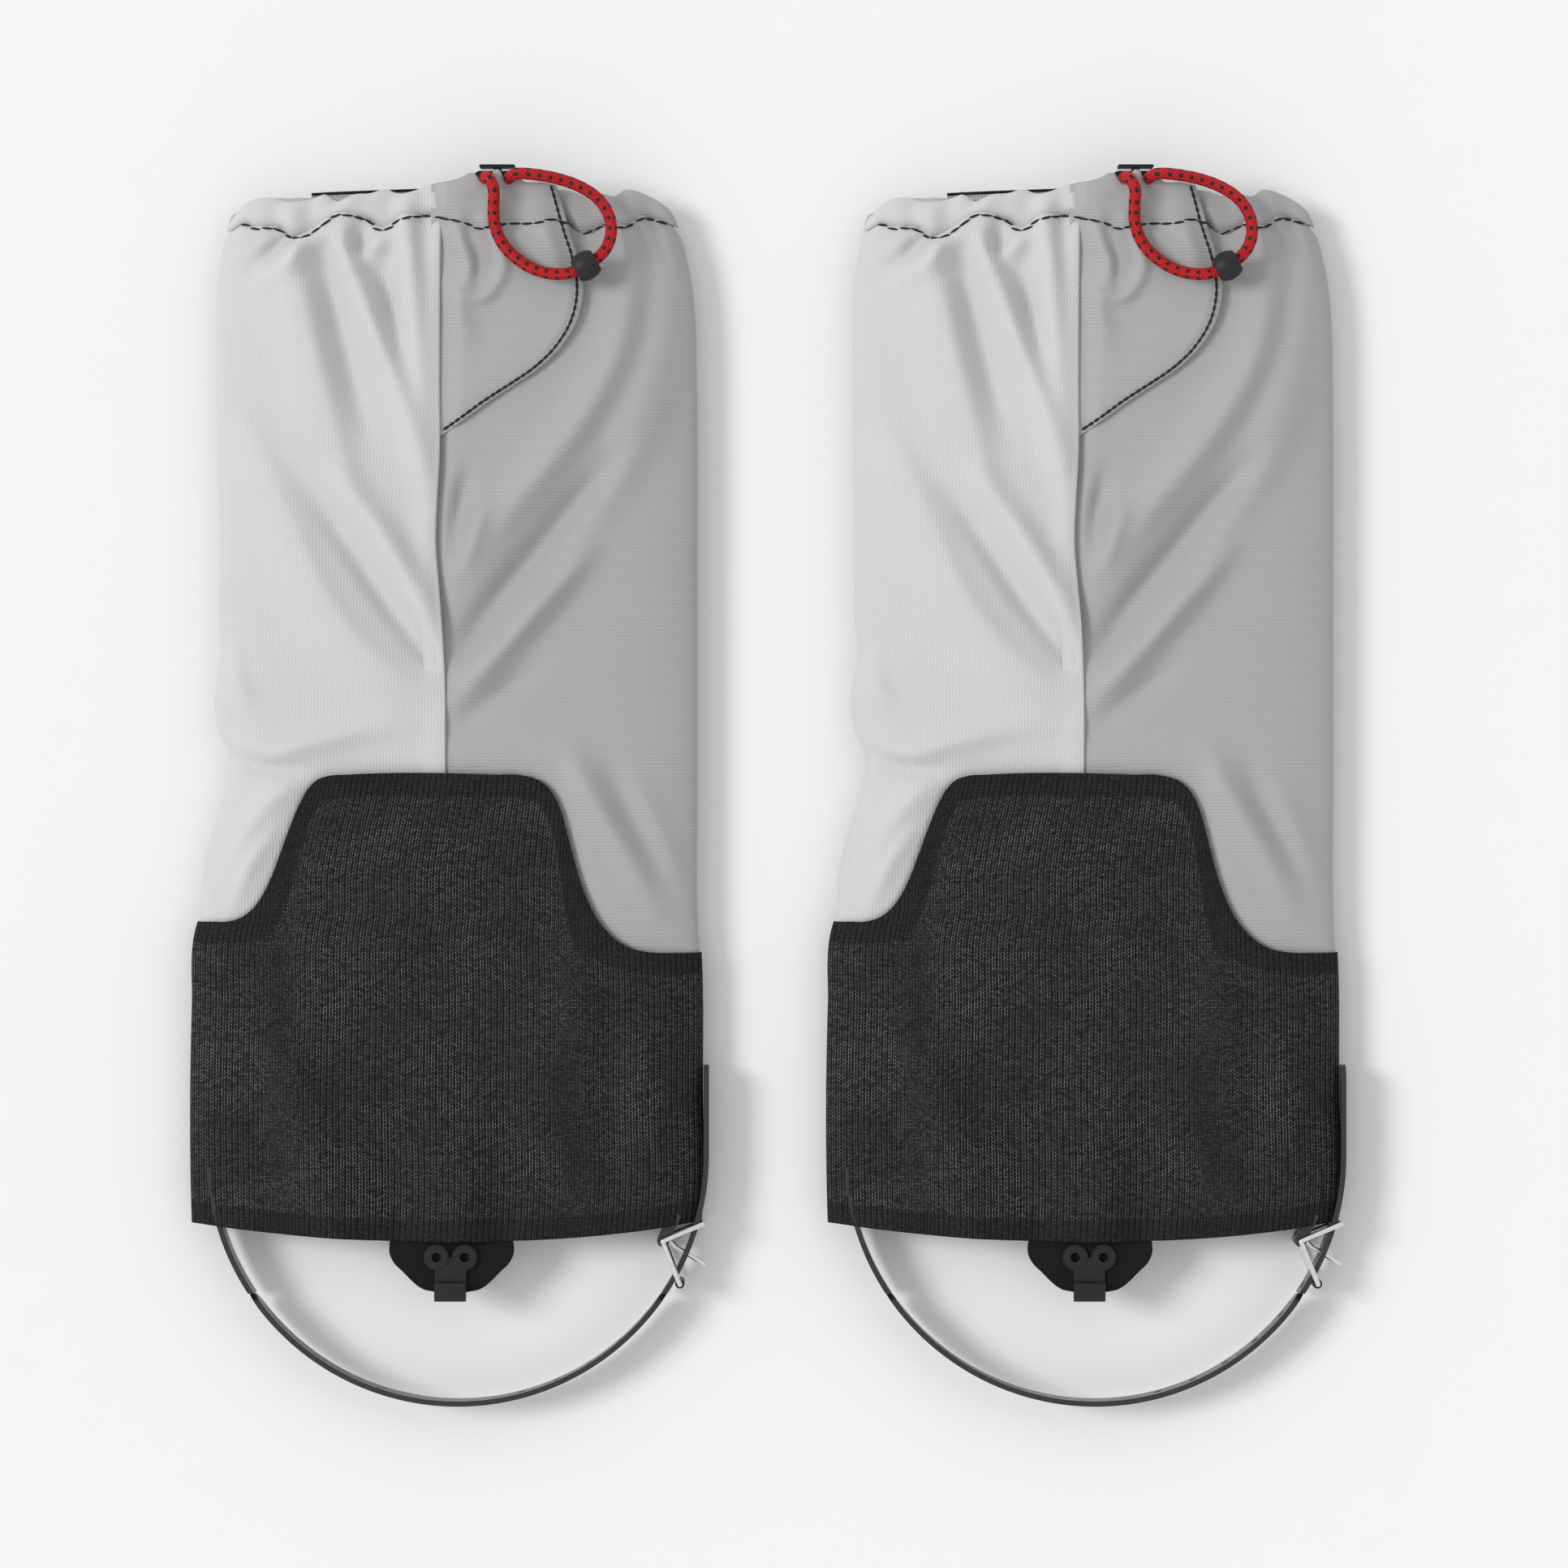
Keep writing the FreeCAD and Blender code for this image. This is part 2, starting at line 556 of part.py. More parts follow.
loop_path, loop_radii = rounded_path(LOOP_ROUTE)
print("drawcord loop length", round(loop_path.Length, 1))
print("drawcord bend radii", [round(radius, 1) for radius in loop_radii])
piece("drawcord_loop", own_shape("drawcord_loop", tube_along(loop_path, cord_dia)))


def make_bead():
    """A barrel with a wide bore, centred on the loop's bead run."""
    start, end = (Vector(*point) for point in LOOP_ROUTE[BEAD_RUN:BEAD_RUN + 2])
    along = (end - start).normalize()
    half, radius = dim("bead_length").value / 2, dim("bead_dia").value / 2
    bore = dim("bead_bore").value / 2
    face = bore + dim("bead_rim").value
    profile = Part.Wire([
        Part.LineSegment(Vector(bore, 0, -half), Vector(face, 0, -half)).toShape(),
        Part.Arc(Vector(face, 0, -half), Vector(radius, 0, 0), Vector(face, 0, half)).toShape(),
        Part.LineSegment(Vector(face, 0, half), Vector(bore, 0, half)).toShape(),
        Part.LineSegment(Vector(bore, 0, half), Vector(bore, 0, -half)).toShape()])
    solid = Part.Face(profile).revolve(Vector(), Vector(0, 0, 1), 360)
    placed = FreeCAD.Placement((start + end) / 2, FreeCAD.Rotation(Vector(0, 0, 1), along))
    return solid.transformGeometry(placed.toMatrix())


piece("cord_bead", own_shape("cord_bead", make_bead()))

# ---------------------------------------------------------------------------------------------------
# Hook tab, lace hook and rivets
# ---------------------------------------------------------------------------------------------------
tab_front = FRONT - dim("fabric")
tab_back = tab_front - dim("tab_thick")
hinge_line = dim("tab_pivot") - dim("tab_gap")
ear_y = -dim("ear_drop")
ear_xs = [("left", dim("hook_x") - dim("ear_pitch") / 2), ("right", dim("hook_x") + dim("ear_pitch") / 2)]
piece("hook_tab_root", block(
    "hook_tab_root", (dim("tab_left"), dim("tab_root_foot"), tab_back),
    (dim("tab_right"), dim("tab_root_height"), tab_front)))
tab_blank = extrude("tab_blank", outline(
    "tab_outline", (dim("tab_left"), hinge_line), [
        (dim("tab_left"), -dim("tab_side")), (dim("tab_foot_left"), -dim("tab_drop")),
        (dim("tab_foot_right") - dim("tab_corner"), -dim("tab_drop")),
        (dim("tab_foot_right") + dim("tab_nose_out"), dim("tab_nose_up") - dim("tab_drop"),
         dim("tab_nose_radius")),
        (dim("tab_right"), -dim("tab_side")), (dim("tab_right"), hinge_line),
        (dim("tab_left"), hinge_line)], offset=tab_back), dim("tab_thick"))


def ear_rods(tag, diameter, low, high):
    """One round bar at each of the hook's two ears."""
    return [rod(f"{tag}_{side}", diameter, high - low, (x, ear_y, low)) for side, x in ear_xs]


hook_back = tab_front
hook_front = hook_back + dim("hook_plate")
shank_hole = dim("rivet_shank") + dim("rivet_room") * 2
rivet_holes = fuse(
    "rivet_holes", *ear_rods("rivet_hole", shank_hole, tab_back - PAST * 2, hook_front + PAST * 2))
piece("hook_tab", cut("hook_tab", tab_blank, rivet_holes))

# The hook is one strip: a flat shank that turns forward and up into a lip.
inner, outer = dim("hook_bend"), dim("hook_bend") + dim("hook_plate")
bend_y = -dim("hook_drop") + outer
bend_z = hook_front + inner
lip_y = -dim("hook_drop") + dim("lip_height")
hook_left = dim("hook_x") - dim("hook_width") / 2
hook_strip = extrude("hook_strip", outline(
    "hook_profile", (ear_y, hook_back), [
        (ear_y, hook_front), (bend_y, hook_front), (bend_y - inner, bend_z, -inner),
        (bend_y, bend_z + inner, -inner), (lip_y, bend_z + inner), (lip_y, bend_z + outer),
        (bend_y, bend_z + outer), (bend_y - outer, bend_z, outer), (bend_y, hook_back, outer),
        (ear_y, hook_back)], plane="YZ", offset=hook_left), dim("hook_width"))
hook_blank = fuse("hook_blank", hook_strip, *ear_rods("hook_ear", dim("ear_dia"), hook_back, hook_front))
piece("lace_hook", cut("lace_hook", hook_blank, rivet_holes))

head_top = hook_front + dim("rivet_head_thick")
washer_low = tab_back - dim("washer_thick")
rivet_solid = fuse(
    "rivet_solid", *ear_rods("rivet_head", dim("rivet_head"), hook_front, head_top),
    *ear_rods("rivet_body", dim("rivet_shank"), washer_low, head_top))
rivet_bores = fuse("rivet_bores", *ear_rods(
    "rivet_bore", dim("rivet_bore"), washer_low + dim("rivet_floor"), head_top + PAST))
piece("hook_rivets", cut("hook_rivets", rivet_solid, rivet_bores))
washer_blank = fuse("washer_blank", *ear_rods("washer", dim("washer_dia"), washer_low, tab_back))
piece("rivet_washers", cut("rivet_washers", washer_blank, rivet_holes))

# ---------------------------------------------------------------------------------------------------
# Instep strap: a band on edge, bent to an arc, with its free end lying up the side
# ---------------------------------------------------------------------------------------------------
strap_low = HALF - dim("strap_width") / 2
strap_high = HALF + dim("strap_width") / 2
strap_x, strap_y = dim("strap_centre_x"), dim("strap_centre_y")
strap_outer, strap_inner = dim("strap_radius"), dim("strap_radius") - dim("strap_thick")
strap_ring = cut(
    "strap_ring", rod("strap_outside", strap_outer * 2, dim("strap_width"), (strap_x, strap_y, strap_low)),
    rod("strap_inside", strap_inner * 2, dim("strap_width") + PAST * 2, (strap_x, strap_y, strap_low - PAST)))
tail_blank = fuse(
    "tail_blank", strap_ring,
    block("tail_straight", (strap_x + strap_inner, strap_y - dim("tail_lap"), strap_low),
          (strap_x + strap_outer, dim("tail_height") - dim("strap_width") / 2, strap_high)),
    rod("tail_tip", dim("strap_width"), dim("strap_thick"),
        (strap_x + strap_inner, dim("tail_height") - dim("strap_width") / 2, HALF), "X"))


def punch_holes():
    """Round holes at an even step along the strap, each pointing at the arc's centre."""
    centre = Vector(strap_x.value, strap_y.value, HALF.value)
    near, far = (strap_inner - PAST).value, (strap_outer + PAST).value
    punches = []
    for number in range(int(dim("hole_count").value)):
        angle = math.radians(dim("hole_first").value + number * dim("hole_step").value)
        aim = Vector(math.cos(angle), math.sin(angle), 0)
        punches.append(Part.makeCylinder(dim("strap_hole").value / 2, far - near, centre + aim * near, aim))
    return Part.makeCompound(punches)


strap_punch = own_shape("strap_punch", punch_holes())
fold_y = dim("fold_y")
clear_fold = fold_y + dim("strap_width") / 2 + dim("fold_gap")
swing_room = fuse(
    "swing_room", block("swing_block", (-FAR, -FAR, strap_low - PAST), (FAR, fold_y, strap_high + PAST)),
    rod("swing_end", dim("strap_width"), FAR * 2, (-FAR, fold_y, HALF), "X"))
piece("instep_strap", cut("instep_strap", common("strap_below", strap_ring, swing_room), strap_punch))
tail_room = block(
    "tail_room", (strap_x, clear_fold, strap_low - PAST), (FAR, dim("tail_height") + PAST, strap_high + PAST))
tail_solid = cut("tail_solid", common("tail_above", tail_blank, tail_room), block(
    "tail_trim", (-FAR, strap_y + HAIR, strap_low - PAST), (strap_x + strap_inner, FAR, strap_high + PAST)))
piece("strap_tail", cut("strap_tail", tail_solid, strap_punch))
piece("strap_root", cut("strap_root", common("strap_root_blank", strap_ring, block(
    "root_room", (-FAR, clear_fold, strap_low - PAST),
    (strap_x, dim("strap_root_height"), strap_high + PAST))), trimmed_shell))

# Patches inside the hem's two sides carry the strap's root and the buckle's tab.
patch_low, patch_high = HALF - dim("patch_width") / 2, HALF + dim("patch_width") / 2
strap_side = cut("strap_side_patch", common("strap_patch_blank", tube_inner, block(
    "strap_patch_room", (-FAR, dim("patch_low"), patch_low),
    (dim("strap_patch_x"), dim("patch_high"), patch_high))), rod(
    "strap_bed", strap_outer * 2, BEYOND * 3, (strap_x, strap_y, -BEYOND)))
buckle_side = common("buckle_side_patch", tube_inner, block(
    "buckle_patch_room", (dim("buckle_patch_x"), dim("patch_low"), patch_low),
    (FAR, dim("patch_high"), patch_high)))
side_patches = doc.addObject("Part::Compound", "side_patches")
side_patches.Links = [strap_side, buckle_side]
piece("side_patches", side_patches)

# ---------------------------------------------------------------------------------------------------
# Roller buckle: a bent wire frame, with the strap between its middle bar and its two outer bars
# ---------------------------------------------------------------------------------------------------
hinge_bar = Vector(dim("hinge_bar_x").value, dim("hinge_bar_y").value, 0)


def beside_strap(angle, diameter):
    """The centre of a bar that lies against the strap's outer face."""
    reach = (strap_outer + dim("bar_clear") + diameter / 2).value
    turn = math.radians(angle.value)
    return Vector(strap_x.value + reach * math.cos(turn), strap_y.value + reach * math.sin(turn), 0)


roller_bar = beside_strap(dim("roller_angle"), dim("roller_dia"))
keeper_bar = beside_strap(dim("keeper_angle"), dim("wire_dia"))


def wire_rod(start, end, diameter):
    """A straight wire with round ends, so that joined wires have smooth corners."""
    r = diameter / 2
    rod_shape = Part.makeCylinder(r, (end - start).Length, start, end - start)
    return rod_shape.fuse([Part.makeSphere(r, start), Part.makeSphere(r, end)])


def make_frame():
    wire = dim("wire_dia").value
    half_frame = (dim("strap_width") + dim("frame_room")).value / 2
    low = Vector(0, 0, HALF.value - half_frame)
    high = Vector(0, 0, HALF.value + half_frame)
    wires = [wire_rod(bar + low, bar + high, wire) for bar in (hinge_bar, roller_bar, keeper_bar)]
    for level in (low, high):
        wires.append(wire_rod(hinge_bar + level, roller_bar + level, wire))
        wires.append(wire_rod(hinge_bar + level, keeper_bar + level, wire))
    return wires[0].fuse(wires[1:]).removeSplitter()


piece("buckle_frame", own_shape("buckle_frame", make_frame()))


def make_sleeve(centre, outside, inside, length):
    """A tube along Z, centred on the strap's width."""
    low = centre + Vector(0, 0, HALF.value - length / 2)
    solid = Part.makeCylinder(outside / 2, length, low)
    below = Vector(0, 0, PAST.value)
    return solid.cut(Part.makeCylinder(inside / 2, length + 2 * PAST.value, low - below))


piece("buckle_roller", own_shape("buckle_roller", make_sleeve(
    roller_bar, dim("roller_dia").value, dim("wire_dia").value + 2 * dim("roller_room").value,
    dim("roller_length").value)))


tongue_angle = dim("hole_first") + dim("tongue_hole") * dim("hole_step")
strap_middle = strap_outer - dim("strap_thick") / 2
hole_x = strap_x + strap_middle * cosine(tongue_angle)
hole_y = strap_y + strap_middle * sine(tongue_angle)
hole_off_x, hole_off_y = hole_x - dim("hinge_bar_x"), hole_y - dim("hinge_bar_y")
hole_off = root(hole_off_x * hole_off_x + hole_off_y * hole_off_y)
tongue_end = hole_x + hole_off_x / hole_off * dim("tongue_reach") + dim("tongue_dia") / 2


def make_tongue():
    """An eye round the hinge bar, and a pin that bends down and out through its hole."""
    wire, eye = dim("tongue_dia").value, dim("tongue_eye").value
    level = Vector(0, 0, HALF.value)
    hole = Vector(hole_x.value, hole_y.value, 0)
    way = (hole - hinge_bar).normalize()
    bend = hole - way * dim("tongue_bend").value
    neck_out = (eye - dim("tongue_sink").value) / 2
    neck = hinge_bar + Vector(way.x, way.y + dim("tongue_rise").value, 0).normalize() * neck_out
    tip = hole + way * dim("tongue_reach").value
    sleeve = make_sleeve(hinge_bar, eye, dim("wire_dia").value + 2 * dim("roller_room").value,
                         dim("tongue_width").value)
    pin = wire_rod(neck + level, bend + level, wire).fuse(wire_rod(bend + level, tip + level, wire))
    bar = Part.makeCylinder(dim("wire_dia").value / 2 + dim("roller_room").value, FRONT.value * 2, hinge_bar)
    return sleeve.fuse(pin).cut(bar).removeSplitter()


piece("buckle_tongue", own_shape("buckle_tongue", make_tongue()))


def make_buckle_tab():
    """A doubled strip folded round the hinge bar, with a notch for the tongue's eye."""
    half = dim("buckle_tab_half").value
    head = Vector(dim("buckle_tab_x").value, dim("buckle_tab_y").value, 0)
    way = (head - hinge_bar).normalize()
    side = Vector(-way.y, way.x, 0) * half
    low = Vector(0, 0, strap_low.value)
    face = Part.Face(Part.Wire([
        Part.LineSegment(hinge_bar + side + low, head + side + low).toShape(),
        Part.LineSegment(head + side + low, head - side + low).toShape(),
        Part.LineSegment(head - side + low, hinge_bar - side + low).toShape(),
        Part.Arc(hinge_bar - side + low, hinge_bar - way * half + low, hinge_bar + side + low).toShape()]))
    strip = face.extrude(Vector(0, 0, dim("strap_width").value))
    bar = Part.makeCylinder(
        dim("wire_dia").value / 2 + dim("tab_eye_room").value, FRONT.value * 2, hinge_bar)
    notch_reach = dim("tongue_eye").value / 2 + dim("notch_reach_room").value
    notch_half = dim("tongue_width").value / 2 + dim("notch_side_room").value
    notch = Part.makeCylinder(notch_reach, notch_half * 2, hinge_bar + Vector(0, 0, HALF.value - notch_half))
    return strip.cut([bar, notch])


piece("buckle_tab", own_shape("buckle_tab", make_buckle_tab()))

# ---------------------------------------------------------------------------------------------------
# The pair: the left gaiter's pieces are set about the pair's centre, and linked again for the right
# ---------------------------------------------------------------------------------------------------
shift_x = (-dim("hem_left") - dim("gaiter_pitch") - tongue_end) / 2
shift_y = -(cap_low + dim("plunger_cap") + strap_y - strap_outer) / 2


def settle(feature, base, shift):
    for axis, size, move in zip("xyz", base, (shift, shift_y, ZERO)):
        feature.setExpression(f"Placement.Base.{axis}", (size + move).text)


nodes = {}
for word, master in pieces.items():
    base = seats.get(master.Name, [ZERO, ZERO, ZERO])
    settle(master, base, shift_x)
    master.Label = f"left_{word}"
    twin = doc.addObject("App::Link", f"right_{word}")
    twin.LinkedObject = master
    twin.Placement = master.Placement
    settle(twin, base, shift_x + dim("gaiter_pitch"))
    twin.Label = f"right_{word}"
    nodes[master.Label] = master
    nodes[twin.Label] = twin
doc.recompute()

faults = [item.Label for item in doc.Objects if {"Invalid", "Error"} & set(item.State)]
shapes = {label: Part.getShape(item) for label, item in nodes.items()}
faults += [label for label, shape in shapes.items()
           if shape.isNull() or not shape.isValid() or not shape.Solids]
if faults:
    raise ValueError(f"these pieces failed: {faults}")

os.makedirs("parts", exist_ok=True)
for label, shape in shapes.items():
    shape.exportStep(f"parts/{label}.step")
whole = Part.makeCompound(list(shapes.values())).BoundBox
print(len(shapes), "pieces; box", [round(number, 2) for number in (
    whole.XMin, whole.XMax, whole.YMin, whole.YMax, whole.ZMin, whole.ZMax)])
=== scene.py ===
# %% [markdown]
# # A pair of snow gaiters, laid flat
# A gaiter is a fabric tube that closes the gap between a boot and a trouser leg. This one has a light
# shell, a tough dark guard round the ankle, a gathered top with a red elastic cord, a hook for the laces
# and a strap that runs under the boot. The measured frame gives the places of all of it, and this script
# gives the looks.

# %% Load the frame
import math

import bpy
import numpy as np
from mathutils import Matrix, Vector


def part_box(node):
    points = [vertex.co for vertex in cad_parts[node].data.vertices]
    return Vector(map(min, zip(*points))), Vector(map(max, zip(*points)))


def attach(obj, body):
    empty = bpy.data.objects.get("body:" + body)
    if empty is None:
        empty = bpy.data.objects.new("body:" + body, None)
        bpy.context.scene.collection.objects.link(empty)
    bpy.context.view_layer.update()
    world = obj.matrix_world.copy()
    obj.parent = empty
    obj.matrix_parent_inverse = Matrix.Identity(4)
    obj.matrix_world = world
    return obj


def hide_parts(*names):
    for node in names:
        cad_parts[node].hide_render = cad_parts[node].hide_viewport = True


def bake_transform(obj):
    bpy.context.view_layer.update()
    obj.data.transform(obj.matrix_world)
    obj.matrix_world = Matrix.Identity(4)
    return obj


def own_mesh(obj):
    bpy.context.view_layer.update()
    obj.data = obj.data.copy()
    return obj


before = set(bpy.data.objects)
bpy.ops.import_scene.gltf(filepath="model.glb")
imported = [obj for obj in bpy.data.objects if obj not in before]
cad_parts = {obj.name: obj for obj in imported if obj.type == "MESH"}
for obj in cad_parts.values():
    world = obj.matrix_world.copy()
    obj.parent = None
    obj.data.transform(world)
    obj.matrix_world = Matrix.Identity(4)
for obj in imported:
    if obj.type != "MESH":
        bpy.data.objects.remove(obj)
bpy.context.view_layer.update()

MM = 0.001
SIDES = ("left", "right")

# %% [markdown]
# ## Where each gaiter sits
# Every shape below is written once, in millimetres from the middle of one gaiter's hem, and is then placed
# twice. The two places come from the frame: the closure flap's fold line and the lowest point of the guard.

# %% Places of the two gaiters
FLAP_FOLD_X = -2.8


def gaiter_origin(side):
    """The middle of one gaiter's hem on the table, in metres."""
    flap_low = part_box(f"{side}_closure_flap")[0]
    guard_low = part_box(f"{side}_guard_front")[0]
    return Vector((flap_low.x - FLAP_FOLD_X * MM, guard_low.y, 0.0))


ORIGIN = {side: gaiter_origin(side) for side in SIDES}


def place(side, points):
    """Millimetres of one gaiter to metres of the whole pair."""
    return np.asarray(points, float) * MM + np.array(ORIGIN[side])


print("origins:", {side: tuple(round(v, 4) for v in ORIGIN[side]) for side in SIDES})

# %% [markdown]
# ## Camera, floor and light
# A flat lay is seen from straight above with a long lens, so the camera looks down and its focal length
# makes 604 mm of table fill the frame. One soft sun from the left gives every fold a bright and a dark
# side, and an even grey sky fills the shadows.

# %% Camera
VIEW_WIDTH = 0.60375
CAMERA_HEIGHT = 2.4
VIEW_CENTRE = (0.0060, 0.0008)
SENSOR = 36.0


def add_object(name, data):
    """Puts a mesh, a curve, a lamp or a camera into the scene."""
    made = bpy.data.objects.new(name, data)
    bpy.context.scene.collection.objects.link(made)
    return made


camera_data = bpy.data.cameras.new("camera")
camera_data.sensor_width = SENSOR
camera_data.lens = SENSOR * CAMERA_HEIGHT / VIEW_WIDTH
camera = add_object("camera", camera_data)
camera.location = (*VIEW_CENTRE, CAMERA_HEIGHT)
bpy.context.scene.camera = camera
print("lens:", round(camera_data.lens, 1), "mm")

# %% Floor, sun and sky
FLOOR_SIZE = 6.0
FLOOR_DROP = 0.0003
SUN_STRENGTH = 1.62
SUN_SOFTNESS = math.radians(20)
SUN_HEIGHT = math.radians(42)
SUN_FROM = math.radians(168)
SKY_STRENGTH = 0.82

floor_mesh = bpy.data.meshes.new("floor")
half = FLOOR_SIZE / 2
corners = [(-half, -half, 0), (half, -half, 0), (half, half, 0), (-half, half, 0)]
floor_mesh.from_pydata(corners, [], [(0, 1, 2, 3)])
floor_mesh.transform(Matrix.Translation((0, 0, -FLOOR_DROP)))
floor = add_object("floor", floor_mesh)

sun_data = bpy.data.lights.new("sun", "SUN")
sun_data.energy = SUN_STRENGTH
sun_data.angle = SUN_SOFTNESS
sun = add_object("sun", sun_data)
toward = Vector((math.cos(SUN_FROM) * math.cos(SUN_HEIGHT), math.sin(SUN_FROM) * math.cos(SUN_HEIGHT),
                 math.sin(SUN_HEIGHT)))
sun.rotation_euler = toward.to_track_quat("Z", "Y").to_euler()

world = bpy.data.worlds.new("sky")
world.use_nodes = True
world.node_tree.nodes["Background"].inputs["Color"].default_value = (1, 1, 1, 1)
world.node_tree.nodes["Background"].inputs["Strength"].default_value = SKY_STRENGTH
bpy.context.scene.world = world
bpy.context.scene.view_settings.view_transform = "Standard"
print("light set")

# %% [markdown]
# ## Writing shaders as sums
# A shader tree is arithmetic drawn as boxes. A small class wraps one socket, so that `1 - mask` or `wave *
# 0.5 + 0.5` adds the Math nodes by itself, and one function adds any other node.


# %% Shader arithmetic
def node(tree, kind, settings=None, values=None, out=0):
    """Adds one node: its settings first, then the values or links of its sockets. Gives back one output."""
    made = tree.nodes.new(kind)
    for name, value in (settings or {}).items():
        setattr(made, name, value)
    for key, value in (values or {}).items():
        if isinstance(value, Shade):
            tree.links.new(value.socket, made.inputs[key])
        else:
            made.inputs[key].default_value = value
    return Shade(tree, made.outputs[out])


class Shade:
    """One output in a shader tree. Arithmetic on it adds Math nodes."""

    def __init__(self, tree, socket):
        self.tree, self.socket = tree, socket

    def math(self, operation, first, second=0.0):
        return node(self.tree, "ShaderNodeMath", {"operation": operation}, {0: first, 1: second})

    def __add__(self, other):
        return self.math("ADD", self, other)

    def __sub__(self, other):
        return self.math("SUBTRACT", self, other)

    def __rsub__(self, other):
        return self.math("SUBTRACT", other, self)

    def __mul__(self, other):
        return self.math("MULTIPLY", self, other)

    def __truediv__(self, other):
        return self.math("DIVIDE", self, other)

    __radd__, __rmul__ = __add__, __mul__

    def wave(self):
        """A sine of a number of turns, from 0 to 1."""
        return self.math("SINE", self * (2 * math.pi)) * 0.5 + 0.5

    def whole(self):
        return self.math("FLOOR", self)

    def step(self, low, high):
        """0 below low, 1 above high, smooth between."""
        return node(self.tree, "ShaderNodeMapRange", {"interpolation_type": "SMOOTHSTEP"},
                    {"Value": self, "From Min": low, "From Max": high})


def split(tree, vector):
    """The X, Y and Z of a vector as three values."""
    made = tree.nodes.new("ShaderNodeSeparateXYZ")
    tree.links.new(vector.socket, made.inputs[0])
    return [Shade(tree, made.outputs[k]) for k in range(3)]


def mix(tree, factor, first, second):
    """A colour between two colours."""
    made = tree.nodes.new("ShaderNodeMix")
    made.data_type = "RGBA"
    sockets = {s.identifier: s for s in made.inputs}
    for key, value in (("Factor_Float", factor), ("A_Color", first), ("B_Color", second)):
        if isinstance(value, Shade):
            tree.links.new(value.socket, sockets[key])
        else:
            sockets[key].default_value = value
    result = next(s for s in made.outputs if s.identifier == "Result_Color")
    return Shade(tree, result)


def noise(tree, vector, scale, detail=2.0, rough=0.5):
    """Soft random blotches, about 0 to 1."""
    return node(tree, "ShaderNodeTexNoise", {}, {"Vector": vector, "Scale": scale, "Detail": detail,
                                                 "Roughness": rough})


def grey(level):
    return (level, level, level, 1.0)


def new_material(name):
    material = bpy.data.materials.new(name)
    material.use_nodes = True
    tree = material.node_tree
    return material, tree, tree.nodes["Principled BSDF"]


def feed(tree, shader, colour=None, roughness=None, height=None, bump=0.0005, **fixed):
    """Plugs a finish into the shader. Height is in units of bump, which is in metres."""
    for name, value in (("Base Color", colour), ("Roughness", roughness)):
        if isinstance(value, Shade):
            tree.links.new(value.socket, shader.inputs[name])
        elif value is not None:
            shader.inputs[name].default_value = value
    if height is not None:
        bumped = node(tree, "ShaderNodeBump", {}, {"Height": height, "Distance": bump, "Strength": 1.0})
        tree.links.new(bumped.socket, shader.inputs["Normal"])
    for name, value in fixed.items():
        shader.inputs[name.replace("_", " ")].default_value = value


print("shader helpers ready")

# %% [markdown]
# ## Shell fabric
# The shell is a plain weave of light polyester. Close up it has fine ribs: down the leg on the overlapping
# panel, across it on the other one. The two panels get a lighter and a darker copy of the one cloth, and
# that difference is painted light and painted shade: it stands for how the ribs and the slope of each panel
# catch the sun from the left. The pattern reads a UV map that holds true metres of cloth, so the ribs bend
# with every fold and stay the same size.

# %% Cloth finishes
RIB_PITCH = 0.00125
THREAD_PITCH = 0.00055


def shell_finish(name, level, ribs_along_leg):
    material, tree, shader = new_material(name)
    across, along, _ = split(tree, node(tree, "ShaderNodeUVMap", {"uv_map": "cloth"}))
    ribs, threads = (across, along) if ribs_along_leg else (along, across)
    cloth = node(tree, "ShaderNodeUVMap", {"uv_map": "cloth"})
    wander = noise(tree, cloth, 180.0, 2.0) - 0.5
    rib = (ribs / RIB_PITCH + wander * 0.5).wave()
    thread = (threads / THREAD_PITCH + (ribs / RIB_PITCH).whole() * 0.5).wave()
    blotch = noise(tree, cloth, 38.0, 3.0)
    fuzz = noise(tree, cloth, 2600.0, 2.0)
    tone = rib * 0.10 + thread * 0.05 + fuzz * 0.12 + blotch * 0.06 + 0.86
    colour = mix(tree, tone - 0.5, grey(level * 0.55), grey(level * 1.42))
    feed(tree, shader, colour, fuzz * 0.15 + 0.62, rib * 0.7 + thread * 0.35 + fuzz * 0.5, 0.00010,
         Sheen_Weight=0.25, Sheen_Roughness=0.4, Specular_IOR_Level=0.3)
    return material


# Painted light and shade: one shell cloth, a lighter copy for the panel that catches the sun and a darker
# copy for the panel and flap that face away from it.
SHELL_PAINTED_LIT = shell_finish("shell_ribs_down_painted_lit", 0.53, True)
SHELL_PAINTED_SHADE = shell_finish("shell_ribs_across_painted_shade", 0.35, False)
SHELL_BACK = shell_finish("shell_back", 0.46, True)
print("shell fabrics:", SHELL_PAINTED_LIT.name, SHELL_PAINTED_SHADE.name, SHELL_BACK.name)

# %% [markdown]
# ## Guard fabric
# The guard is a coarse knit coated against abrasion: dark ribs down the leg, each with a row of small light
# loops that stand in slanted rows. Its edges are folded under and stitched, and look darker there because
# the loops are pressed flat. A mesh attribute called `rim` carries the distance to the nearest edge.

# %% Guard finish
GUARD_RIB = 0.0023
GUARD_LOOP = 0.00135
FOLDED_RIM = 8.5


